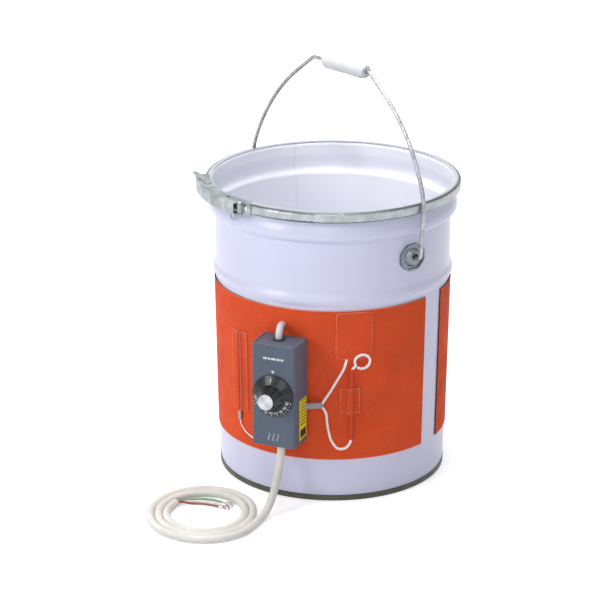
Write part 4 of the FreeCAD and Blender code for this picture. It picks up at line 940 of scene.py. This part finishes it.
@dataclass(frozen=True)
class Jacket(Finish):
    """A cord's or lead's jacket, with the faint lay of what is inside it."""

    lay_scale: float = 300.0
    dirt_colour: Colour = (0.42, 0.38, 0.32)
    dust_reach: float = 0.006
    dust_share: float = 0.25
    mark_share: float = 0.16

    def detail(self, skin: Skin) -> None:
        """Draws uneven colour, a little dirt and a soft surface.

        Args:
            skin: The material.
        """
        colour = skin.tint(self.colour, skin.uneven(28.0, 0.94, 1.04))
        for share in (skin.dust(self.dust_reach, self.dust_share),
                      skin.scuffs(70.0, 0.5, self.mark_share)):
            colour = skin.blend(share, colour, self.dirt_colour)
        skin.put("Base Color", colour)
        skin.put("Roughness", self.dull(skin, 80.0, 0.85, 1.2))
        skin.raise_surface(skin.noise(skin.place, self.lay_scale, 3.0), 0.0002, 0.25)


@dataclass(frozen=True)
class StickerFilm(Finish):
    """Yellow film with a plain dark border, bars and a block, and no words."""

    depths: tuple[float, float] = (-0.1707, -0.1482)
    heights: tuple[float, float] = (0.090, 0.141)
    ink: Colour = (0.035, 0.030, 0.020)
    border: float = 0.0012
    margin: float = 0.0028
    bar_pitch: float = 0.0042
    bar_start: float = 0.0167
    block_top: float = 0.0127
    blur: float = 0.0001

    def detail(self, skin: Skin) -> None:
        """Draws the border, the bars and the block in dark ink.

        Args:
            skin: The material.
        """
        part = skin.split(skin.place)
        near = []
        for axis, (low, high) in (("Y", self.depths), ("Z", self.heights)):
            away = skin.gap(part[axis], (low + high) / 2)
            near.append(skin.sum("SUBTRACT", (high - low) / 2, away))
        inset = skin.sum("MINIMUM", *near)
        border = skin.remap(skin.gap(inset, self.border), 0.00022, 0.00034, 1.0, 0.0)
        field_inside = skin.remap(inset, self.margin - self.blur, self.margin + self.blur)
        height = skin.sum("SUBTRACT", part["Z"], self.heights[0])
        row = skin.sum("FRACT", skin.sum("DIVIDE", height, self.bar_pitch))
        bars = skin.times(skin.remap(row, 0.30, 0.34), skin.remap(row, 0.66, 0.62))
        above = skin.remap(height, self.bar_start - self.blur, self.bar_start + self.blur)
        bars = skin.times(bars, above)
        block = skin.remap(height, self.block_top + self.blur, self.block_top - self.blur)
        print_inside = skin.times(skin.sum("MAXIMUM", bars, block), field_inside)
        ink = skin.sum("MAXIMUM", border, print_inside)
        colour = skin.tint(self.colour, skin.uneven(80.0, 0.93, 1.05))
        skin.put("Base Color", skin.blend(ink, colour, self.ink))
        skin.put("Roughness", self.dull(skin, 120.0, 0.8, 1.2))


class Finishes:
    """Every finish of the object, built once and looked up by name."""

    CHOICES: tuple[Finish, ...] = (
        Enamel("enamel", (0.70, 0.71, 0.90), 0.30, coat=0.20),
        Zinc("galvanised_steel", (0.34, 0.37, 0.38), 0.36, metallic=0.92, cloud=0.26),
        Zinc("ring_steel", (0.37, 0.40, 0.41), 0.34, metallic=0.92, rim=(0.1508, 0.1536)),
        Zinc("ear_steel", (0.22, 0.24, 0.27), 0.42, metallic=0.9, contrast=0.16),
        Zinc("bright_wire", (0.36, 0.36, 0.38), 0.34, metallic=0.95, patch_scale=500.0,
             contrast=0.25),
        Moulded("white_plastic", (0.66, 0.67, 0.70), 0.38, scratch_colour=(0.55, 0.55, 0.56)),
        Silicone("band_rubber", (0.78, 0.092, 0.026), 0.72, specular=0.14, wires=True),
        Silicone("patch_rubber", (0.76, 0.088, 0.025), 0.68, specular=0.16, pitch=0.0016),
        Moulded("red_sleeve", (0.60, 0.060, 0.018), 0.45, specular=0.25,
                scratch_colour=(0.66, 0.16, 0.09)),
        Zinc("bulb_metal", (0.36, 0.34, 0.33), 0.40, metallic=0.85, patch_scale=700.0,
             contrast=0.12),
        Jacket("white_lead", (0.96, 0.94, 0.92), 0.45, lay_scale=900.0,
               dirt_colour=(0.70, 0.66, 0.61)),
        Jacket("grey_sheath", (0.33, 0.33, 0.38), 0.50, lay_scale=700.0),
        Jacket("top_lead_grey", (0.72, 0.72, 0.77), 0.38, lay_scale=500.0),
        BoxPaint("case_paint", (0.105, 0.135, 0.180), 0.50, specular=0.3),
        Zinc("screw_steel", (0.52, 0.52, 0.52), 0.30, metallic=0.95, patch_scale=900.0,
             contrast=0.10),
        Moulded("phenolic", (0.045, 0.036, 0.032), 0.55, texture=0.4),
        Moulded("black_plastic", (0.012, 0.013, 0.015), 0.22, specular=0.35,
                scratch_colour=(0.08, 0.08, 0.09)),
        SpunDisc("bright_aluminium", (0.54, 0.56, 0.58), 0.40, metallic=0.9),
        StickerFilm("label_film", (0.95, 0.78, 0.020), 0.42, specular=0.25),
        Moulded("black_rubber", (0.016, 0.016, 0.017), 0.62, texture=0.5),
        Jacket("cord_jacket", (0.78, 0.775, 0.72), 0.48),
        Jacket("green_core", (0.19, 0.41, 0.26), 0.40, lay_scale=600.0),
        Jacket("red_core", (0.34, 0.055, 0.05), 0.40, lay_scale=600.0),
        Zinc("tinned_copper", (0.62, 0.60, 0.58), 0.28, metallic=1.0, patch_scale=800.0,
             contrast=0.10),
        Moulded("print_white", (0.70, 0.73, 0.76), 0.50, scratch_colour=(0.40, 0.42, 0.45),
                scratch_share=0.25),
    )

    def __init__(self, effects: Effects) -> None:
        """Builds all the materials.

        Args:
            effects: The shared node groups.
        """
        self.by_name = {choice.name: choice.build(effects) for choice in self.CHOICES}

    def dress(self, thing: Thing, name: str) -> None:
        """Gives a whole piece one finish.

        Args:
            thing: The piece.
            name: The finish's name.
        """
        if not thing.material_slots:
            thing.data.materials.append(None)
        for material_slot in thing.material_slots:
            material_slot.material = self.by_name[name]


# Ways of working


def select_only(*things: Thing) -> None:
    """Selects some objects and nothing else, with the first one active.

    Args:
        *things: The objects.
    """
    bpy.ops.object.select_all(action="DESELECT")
    for thing in things:
        thing.select_set(True)
    bpy.context.view_layer.objects.active = things[0]


def settle(thing: Thing, place: Matrix | None = None) -> None:
    """Puts a piece's place into its mesh.

    Args:
        thing: The piece.
        place: Where it goes from where it was drawn, if it isn't there yet.
    """
    if place is not None:
        thing.matrix_world = place @ thing.matrix_world
    select_only(thing)
    bpy.ops.object.transform_apply(location=True, rotation=True, scale=True)


def joined(things: list[Thing], name: str) -> Thing:
    """Joins pieces of one kind into one object with a name.

    Args:
        things: The pieces, of which the first takes in the rest.
        name: The whole's name.

    Returns:
        The whole.
    """
    select_only(*things)
    bpy.ops.object.join()
    whole = bpy.context.view_layer.objects.active
    whole.name = name
    whole.data.name = name
    return whole


def set_on(origin: Point, right: Vector, up: Vector) -> Matrix:
    """A place for what is drawn flat: its X goes right, its Y up and its Z out.

    Args:
        origin: Where the drawing's own origin goes.
        right: The way that its X points.
        up: The way that its Y points.

    Returns:
        The matrix.
    """
    right = right.normalized()
    out = right.cross(up).normalized()
    up = out.cross(right)
    place = Matrix((right, up, out)).transposed().to_4x4()
    place.translation = Vector(origin)
    return place


def thicken() -> None:
    """Raises the flat print that was just drawn, so that it stands on the surface."""
    bpy.ops.object.mode_set(mode="EDIT")
    bpy.ops.mesh.select_all(action="SELECT")
    bpy.ops.mesh.extrude_region_move(TRANSFORM_OT_translate={"value": (0, 0, PRINT_THICKNESS)})
    bpy.ops.mesh.select_all(action="SELECT")
    bpy.ops.mesh.normals_make_consistent(inside=False)
    bpy.ops.object.mode_set(mode="OBJECT")


def printed_bar(width: float, height: float, corner: float) -> Thing:
    """A flat printed bar with round corners, drawn about the origin.

    Args:
        width: Its size along X.
        height: Its size along Y.
        corner: The radius of its corners.

    Returns:
        The bar.
    """
    bpy.ops.object.select_all(action="DESELECT")
    bpy.ops.mesh.primitive_plane_add(size=1.0)
    bar = bpy.context.active_object
    bar.scale = (width, height, 1.0)
    settle(bar)
    bpy.ops.object.mode_set(mode="EDIT")
    bpy.ops.mesh.select_all(action="SELECT")
    bpy.ops.mesh.bevel(offset=corner, segments=3, affect="VERTICES")
    thicken()
    return bar


def printed_disc(radius: float, sides: int) -> Thing:
    """A flat printed dot, or a triangle with three sides, drawn about the origin.

    Args:
        radius: The distance of its corners.
        sides: How many corners it has.

    Returns:
        The dot.
    """
    bpy.ops.object.select_all(action="DESELECT")
    bpy.ops.mesh.primitive_circle_add(vertices=sides, radius=radius, fill_type="NGON")
    disc = bpy.context.active_object
    thicken()
    return disc


# Camera


@dataclass
class Camera:
    """The camera at the photograph's place and angle."""

    place: Point = (1.0708, -2.6503, 1.2313)
    look_down: float = 19.66
    turn: float = 22.83
    lens: float = 147.4
    sensor: float = 36.0
    sight: float = 60.0

    def build(self) -> None:
        """Adds the camera and makes it the scene's own."""
        turn = (math.radians(90.0 - self.look_down), 0.0, math.radians(self.turn))
        bpy.ops.object.camera_add(location=self.place, rotation=turn)
        camera = bpy.context.active_object
        camera.name = "photo_camera"
        camera.data.lens = self.lens
        camera.data.sensor_width = self.sensor
        camera.data.clip_end = self.sight
        bpy.context.scene.camera = camera


# Power cord


@dataclass
class PowerCord:
    """The cord: down from the box's underside, then two and a half turns on the floor."""

    diameter: float = 0.0095
    fall: tuple[Point, ...] = (
        (0.0020, -0.1660, 0.0880),
        (0.0020, -0.1660, 0.0660),
        (0.0011, -0.1765, 0.0410),
        (0.0003, -0.1900, 0.0190),
        (-0.0008, -0.2110, 0.0060),
    )
    lie: float = 0.0048
    centre: tuple[float, float] = (-0.0686, -0.2335)
    half_axes: tuple[float, float] = (0.0710, 0.0655)
    tilt: float = 120.0
    pitch: float = 0.0098
    turns: float = 2.553
    steps_in: tuple[float, ...] = (0.70, 1.70)
    step_length: float = 0.30
    points_per_turn: int = 16
    roundness: int = 6
    smoothness: int = 10
    on_it: tuple[str, ...] = ("core_green", "core_white", "core_red", "ring_terminals")

    def inset(self, turn: float) -> float:
        """How far inside the outer turn the cord lies.

        Args:
            turn: The turns so far.

        Returns:
            The distance, which grows by the pitch over each step in.
        """
        steps = 0.0
        for start in self.steps_in:
            share = min(max((turn - start) / self.step_length, 0.0), 1.0)
            steps += share * share * (3 - 2 * share)
        return steps * self.pitch

    def coil(self) -> list[Point]:
        """The coil's points, clockwise from its right side.

        Returns:
            Points a little outside the turns, because the spline runs inside them.
        """
        spread = 1.0 / (0.75 + 0.25 * math.cos(2 * math.pi / self.points_per_turn))
        count = round(self.turns * self.points_per_turn)
        points = []
        for step in range(count + 1):
            turn = self.turns * step / count
            angle = -2 * math.pi * turn
            own = angle - math.radians(self.tilt)
            long_axis, short_axis = (axis - self.inset(turn) for axis in self.half_axes)
            reach = 1.0 / math.hypot(math.cos(own) / long_axis, math.sin(own) / short_axis)
            if 0 < step < count:
                reach *= spread
            points.append((self.centre[0] + reach * math.cos(angle),
                           self.centre[1] + reach * math.sin(angle), self.lie))
        return points

    def build(self, finishes: Finishes) -> None:
        """Draws the cord as one smooth curve.

        Args:
            finishes: The object's finishes.
        """
        data = bpy.data.curves.new("power_cord", "CURVE")
        data.dimensions = "3D"
        data.bevel_depth = self.diameter / 2
        data.bevel_resolution = self.roundness
        data.resolution_u = self.smoothness
        data.use_fill_caps = True
        points = list(self.fall) + self.coil()
        spline = data.splines.new("NURBS")
        spline.points.add(len(points) - 1)
        for knot, point in zip(spline.points, points):
            knot.co = (*point, 1.0)
        spline.order_u = 3
        spline.use_endpoint_u = True
        cord = bpy.data.objects.new("power_cord", data)
        bpy.context.collection.objects.link(cord)
        finishes.dress(cord, "cord_jacket")
        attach(cord, Body.PAIL.value)
        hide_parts("cord_tube", "cord_coil")
        log.info("power cord with %d points", len(points))


# Dial


@dataclass
class DialScale:
    """The white numbers, dots and line on the dial's sloping skirt."""

    centre: Point = (0.0, -0.1859, 0.1497)
    rim: float = 0.0260
    rim_depth: float = 0.0016
    hub: float = 0.0165
    hub_depth: float = 0.0070
    stand_off: float = 0.00004
    numbers: tuple[int, ...] = (20, 30, 40, 50, 60, 70, 80, 90, 100)
    number_radius: float = 0.0202
    number_size: float = 0.0050
    number_thickness: float = 0.00004
    number_weight: float = 0.00012
    first_angle: float = 104.0
    step_angle: float = 19.5
    dots: tuple[tuple[float, float], ...] = ((0.0, 0.00085), (0.5, 0.00055))
    dot_radius: float = 0.0243
    dot_corners: int = 12
    line: tuple[float, float, float] = (0.0010, 0.0050, 0.0003)
    line_angle: float = -3.0
    line_radius: float = 0.0212

    def place(self, angle: float, radius: float) -> Matrix:
        """A place on the skirt, with its Y away from the dial's centre.

        Args:
            angle: Degrees clockwise from the top, seen from the front.
            radius: The distance from the dial's axis.

        Returns:
            The matrix for what is drawn flat.
        """
        turn = math.radians(angle)
        share = (self.rim - radius) / (self.rim - self.hub)
        depth = self.rim_depth + share * (self.hub_depth - self.rim_depth)
        slope = math.atan2(self.hub_depth - self.rim_depth, self.rim - self.hub)
        right = Vector((math.cos(turn), 0.0, -math.sin(turn)))
        up = Vector((math.sin(turn) * math.cos(slope), math.sin(slope),
                     math.cos(turn) * math.cos(slope)))
        origin = Vector((self.centre[0] + radius * math.sin(turn), self.centre[1] - depth,
                         self.centre[2] + radius * math.cos(turn)))
        out = right.cross(up).normalized()
        return set_on(origin + out * self.stand_off, right, up)

    def number(self, value: int, angle: float) -> Thing:
        """One number, standing with its foot towards the dial's centre.

        Args:
            value: The number.
            angle: Degrees clockwise from the top, seen from the front.

        Returns:
            Its mesh.
        """
        bpy.ops.object.select_all(action="DESELECT")
        bpy.ops.object.text_add()
        text = bpy.context.active_object
        text.data.body = str(value)
        text.data.size = self.number_size
        text.data.align_x = "CENTER"
        text.data.align_y = "CENTER"
        text.data.extrude = self.number_thickness
        text.data.offset = self.number_weight
        text.data.resolution_u = 3
        select_only(text)
        bpy.ops.object.convert(target="MESH")
        mesh = bpy.context.active_object
        settle(mesh, self.place(angle, self.number_radius))
        return mesh

    def build(self, finishes: Finishes) -> None:
        """Draws the whole scale as one piece that turns with the dial.

        Args:
            finishes: The object's finishes.
        """
        marks = []
        for index, value in enumerate(self.numbers):
            angle = self.first_angle + index * self.step_angle
            marks.append(self.number(value, angle))
            for part, radius in self.dots:
                dot = printed_disc(radius, self.dot_corners)
                settle(dot, self.place(angle + part * self.step_angle, self.dot_radius))
                marks.append(dot)
        line = printed_bar(*self.line)
        settle(line, self.place(self.line_angle, self.line_radius))
        marks.append(line)
        scale = joined(marks, "dial_scale")
        finishes.dress(scale, "print_white")
        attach(scale, Body.DIAL.value)
        log.info("dial scale with %d marks", len(marks))


# Control box


@dataclass
class CasePrint:
    """The plain white marks on the box's front: bars, a pointer and three heat waves."""

    front: float = -0.1852
    stand_off: float = 0.00003
    title_height: float = 0.1960
    title_bars: tuple[float, ...] = (0.0048, 0.0034, 0.0058, 0.0040, 0.0036)
    title_gap: float = 0.0011
    bar_height: float = 0.0027
    bar_corner: float = 0.0006
    pointer: tuple[float, float] = (-0.0005, 0.1798)
    pointer_size: float = 0.0028
    waves: tuple[float, ...] = (-0.0056, 0.0, 0.0056)
    wave_height: float = 0.0966
    wave_width: float = 0.00075
    wave_length: float = 0.0088
    wave_swing: float = 0.0011

    def place(self, across: float, height: float, turn: float = 0.0) -> Matrix:
        """A place on the front, turned in its own plane.

        Args:
            across: The distance along X.
            height: The height above the floor.
            turn: Degrees anticlockwise, seen from the front.

        Returns:
            The matrix.
        """
        origin = (across, self.front - self.stand_off, height)
        flat = set_on(origin, Vector((1.0, 0.0, 0.0)), UP)
        return flat @ Matrix.Rotation(math.radians(turn), 4, "Z")

    def wave(self, across: float) -> Thing:
        """One upright wave, drawn as a thin flat ribbon.

        Args:
            across: The distance along X.

        Returns:
            The wave.
        """
        bpy.ops.object.select_all(action="DESELECT")
        bpy.ops.mesh.primitive_grid_add(x_subdivisions=1, y_subdivisions=16, size=1.0)
        ribbon = bpy.context.active_object
        ribbon.scale = (self.wave_width, self.wave_length, 1.0)
        settle(ribbon)
        for corner in ribbon.data.vertices:
            turn = corner.co.y / (self.wave_length / 2) * math.pi
            corner.co.x += self.wave_swing * math.sin(turn)
        thicken()
        settle(ribbon, self.place(across, self.wave_height))
        return ribbon

    def build(self, finishes: Finishes) -> None:
        """Draws all the marks as one piece on the pail's body.

        Args:
            finishes: The object's finishes.
        """
        marks = []
        width = sum(self.title_bars) + self.title_gap * (len(self.title_bars) - 1)
        left = -width / 2
        for bar_width in self.title_bars:
            bar = printed_bar(bar_width, self.bar_height, self.bar_corner)
            settle(bar, self.place(left + bar_width / 2, self.title_height))
            marks.append(bar)
            left += bar_width + self.title_gap
        pointer = printed_disc(self.pointer_size, sides=3)
        settle(pointer, self.place(*self.pointer, turn=180.0))
        marks.append(pointer)
        marks += [self.wave(across) for across in self.waves]
        marking = joined(marks, "case_print")
        finishes.dress(marking, "print_white")
        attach(marking, Body.PAIL.value)
        log.info("box print with %d marks", len(marks))


# Lever lock


@dataclass
class WeldSpots:
    """The round welds that hold the lock's two saddles to the ring, and a rivet head."""

    radius: float = 0.1574
    height: float = 0.36435
    size: float = 0.0019
    rise: float = 0.00045
    places: tuple[tuple[float, float], ...] = (
        (-26.6, -0.0027), (-26.6, 0.0027), (-59.5, -0.0024), (-59.5, 0.0027),
        (-61.4, -0.0024), (-61.4, 0.0027),
    )
    head: tuple[float, float] = (-18.8, -0.0008)
    head_size: float = 0.0034
    head_rise: float = 0.0012
    sunk: float = 0.3
    crease: float = 40.0

    def spot(self, azimuth: float, offset: float, size: float, rise: float) -> Thing:
        """One weld or rivet head: a flattened half ball on the saddle.

        Args:
            azimuth: Degrees round the pail from the box.
            offset: How far above the ring's middle it is.
            size: Its radius.
            rise: How far it stands out.

        Returns:
            The spot.
        """
        bpy.ops.object.select_all(action="DESELECT")
        bpy.ops.mesh.primitive_uv_sphere_add(segments=24, ring_count=12, radius=size)
        spot = bpy.context.active_object
        spot.scale = (1.0, 1.0, rise / size)
        bpy.ops.object.mode_set(mode="EDIT")
        bpy.ops.mesh.select_all(action="SELECT")
        bpy.ops.mesh.bisect(plane_co=(0, 0, -size * self.sunk), plane_no=(0, 0, 1),
                            clear_inner=True, use_fill=True)
        bpy.ops.object.mode_set(mode="OBJECT")
        angle = math.radians(azimuth)
        right = Vector((math.cos(angle), math.sin(angle), 0.0))
        origin = (self.radius * math.sin(angle), -self.radius * math.cos(angle),
                  self.height + offset)
        settle(spot)
        settle(spot, set_on(origin, right, UP))
        bpy.ops.object.shade_smooth_by_angle(angle=math.radians(self.crease))
        return spot

    def build(self, finishes: Finishes) -> None:
        """Draws the welds and the rivet head as one piece.

        Args:
            finishes: The object's finishes.
        """
        spots = [self.spot(*place, self.size, self.rise) for place in self.places]
        spots.append(self.spot(*self.head, self.head_size, self.head_rise))
        welds = joined(spots, "weld_spots")
        finishes.dress(welds, "screw_steel")
        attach(welds, Body.PAIL.value)
        log.info("%d welds and rivet heads", len(spots))


# Built solids


@dataclass
class SolidPieces:
    """The built solids, each given the finish of its own material."""

    finish_of: dict[str, str] = field(default_factory=lambda: {
        "enamel": "pail_shell pail_bottom",
        "ring_steel": "lock_ring",
        "galvanised_steel": "hinge_bracket hinge_pin keeper_bracket keeper_pin "
                            "lock_lever link_pin lock_link seal_eye",
        "ear_steel": "ear_front ear_back",
        "bright_wire": "bail_wire",
        "white_plastic": "bail_grip",
        "band_rubber": "heater_band",
        "patch_rubber": "lead_patch bulb_pocket sensor_tab case_saddle",
        "red_sleeve": "sensor_sleeve",
        "bulb_metal": "sensing_bulb bulb_ferrule",
        "white_lead": "sensor_lead heater_lead core_white capillary_tube",
        "grey_sheath": "lead_sheath",
        "top_lead_grey": "top_lead",
        "case_paint": "case_body side_plate",
        "screw_steel": "plate_screws regulator_shaft",
        "phenolic": "regulator_body terminal_block",
        "black_plastic": "dial_knob",
        "bright_aluminium": "dial_cap",
        "label_film": "side_label",
        "black_rubber": "top_grommet cord_bush",
        "cord_jacket": "cord_tube cord_coil",
        "green_core": "core_green",
        "red_core": "core_red",
        "tinned_copper": "ring_terminals",
    })

    def build(self, finishes: Finishes) -> None:
        """Dresses every solid and reports any that was forgotten.

        Args:
            finishes: The object's finishes.
        """
        dressed = set()
        for finish, names in self.finish_of.items():
            for name in names.split():
                finishes.dress(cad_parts[name], finish)
                dressed.add(name)
        for name in sorted(set(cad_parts) - dressed):
            log.warning("%s has no finish", name)
        log.info("%d solids dressed", len(dressed))


# Studio


@dataclass(frozen=True)
class Lamp:
    """A soft lamp: its place, its power in watts and its width and height."""

    name: str
    place: Point
    power: float
    size: tuple[float, float] = (1.0, 1.0)
    aim: Point = (0.0, 0.0, 0.2)

    def add(self, kind: str) -> bpy.types.Light:
        """Adds the lamp and points it at its aim.

        Args:
            kind: The kind of light.

        Returns:
            The light, to be shaped.
        """
        bpy.ops.object.light_add(type=kind, location=self.place)
        lamp = bpy.context.active_object
        lamp.name = self.name
        lamp.data.energy = self.power
        way = Vector(self.aim) - Vector(self.place)
        lamp.rotation_euler = way.to_track_quat("-Z", "Y").to_euler()
        return lamp.data

    def build(self) -> None:
        """Adds the lamp with its shape."""
        light = self.add("AREA")
        light.shape = "RECTANGLE"
        light.size, light.size_y = self.size


@dataclass(frozen=True)
class Beam(Lamp):
    """A narrow lamp that shines into the pail from above the camera."""

    spread: float = 6.8
    fade: float = 0.9
    softness: float = 0.25

    def build(self) -> None:
        """Adds the lamp with its cone."""
        light = self.add("SPOT")
        light.spot_size = math.radians(self.spread)
        light.spot_blend = self.fade
        light.shadow_soft_size = self.softness


@dataclass
class Studio:
    """A pale floor and soft lamps round the object."""

    floor_size: float = 24.0
    floor_height: float = -0.0002
    floor_colour: Colour = (0.80, 0.80, 0.84)
    floor_glow: float = 0.50
    glow_reach: tuple[float, float] = (0.5, 2.2)
    sky: float = 0.39
    far_side: float = 0.58
    far_way: Point = (0.92, 0.39, 0.0)
    lamps: tuple[Lamp, ...] = (
        Lamp("key", (-1.4, -2.0, 1.5), 20.0, (0.8, 1.0)),
        Lamp("front", (0.6, -2.6, 1.3), 8.0),
        Lamp("top", (-0.1, 0.1, 2.4), 42.0, (1.4, 1.4)),
        Beam("beam", (0.75, -1.7, 2.3), 240.0, aim=(-0.06, 0.13, 0.33)),
    )

    @staticmethod
    def seen(tree: Tree) -> Socket:
        """Whether a ray shows the camera a surface, straight or by way of metal or glass.

        Args:
            tree: The surface's tree.

        Returns:
            The socket that is 1 there.
        """
        path = tree.add("LightPath").outputs
        seen = tree.sum("MAXIMUM", path["Is Camera Ray"], path["Is Glossy Ray"])
        return tree.sum("MAXIMUM", seen, path["Is Transmission Ray"])

    def floor(self) -> None:
        """Adds the floor, which shows the camera a white ground with the shadow on it."""
        bpy.ops.mesh.primitive_plane_add(size=self.floor_size,
                                         location=(0, 0, self.floor_height))
        floor = bpy.context.active_object
        floor.name = "studio_floor"
        settle(floor)
        material = bpy.data.materials.new("studio_floor")
        material.use_nodes = True
        tree = Tree(material.node_tree)
        shader = material.node_tree.nodes["Principled BSDF"].inputs
        shader["Roughness"].default_value = 0.9
        shader["Specular IOR Level"].default_value = 0.1
        shader["Emission Color"].default_value = WHITE
        place = tree.add("TexCoord").outputs["Object"]
        shade = tree.remap(tree.noise(place, 3.0), *NOISE_SPAN, 0.99, 1.01)
        tree.feed(shader["Base Color"], tree.tint(self.floor_colour, shade))
        away = tree.add("VectorMath", operation="LENGTH")
        tree.feed(away.inputs[0], place)
        glow = tree.remap(away.outputs["Value"], *self.glow_reach, self.floor_glow, 1.0)
        tree.feed(shader["Emission Strength"], tree.times(self.seen(tree), glow))
        floor.data.materials.append(material)

    def world(self) -> None:
        """Sets the even light of the room, which shows as white."""
        world = bpy.context.scene.world or bpy.data.worlds.new("room")
        bpy.context.scene.world = world
        world.use_nodes = True
        tree = Tree(world.node_tree)
        background = world.node_tree.nodes["Background"].inputs
        background["Color"].default_value = WHITE
        side = tree.add("VectorMath", operation="DOT_PRODUCT")
        tree.feed(side.inputs[0], tree.add("TexCoord").outputs["Generated"])
        tree.feed(side.inputs[1], self.far_way)
        shade = tree.remap(side.outputs["Value"], -0.3, 0.9, 1.0, self.far_side)
        strength = tree.sum("MAXIMUM", self.seen(tree), tree.times(shade, self.sky))
        tree.feed(background["Strength"], strength)

    def build(self) -> None:
        """Builds the floor, the lamps and the room."""
        self.floor()
        for lamp in self.lamps:
            lamp.build()
        self.world()
        bpy.context.scene.view_settings.view_transform = "Standard"
        log.info("studio ready")


def main() -> None:
    """Builds the whole scene: camera and cord first, then the rest."""
    logging.basicConfig(level=logging.INFO, format="%(name)s: %(message)s")
    Camera().build()
    finishes = Finishes(Effects())
    PowerCord().build(finishes)
    SolidPieces().build(finishes)
    DialScale().build(finishes)
    CasePrint().build(finishes)
    WeldSpots().build(finishes)
    Studio().build()


if __name__ == "__main__":
    main()
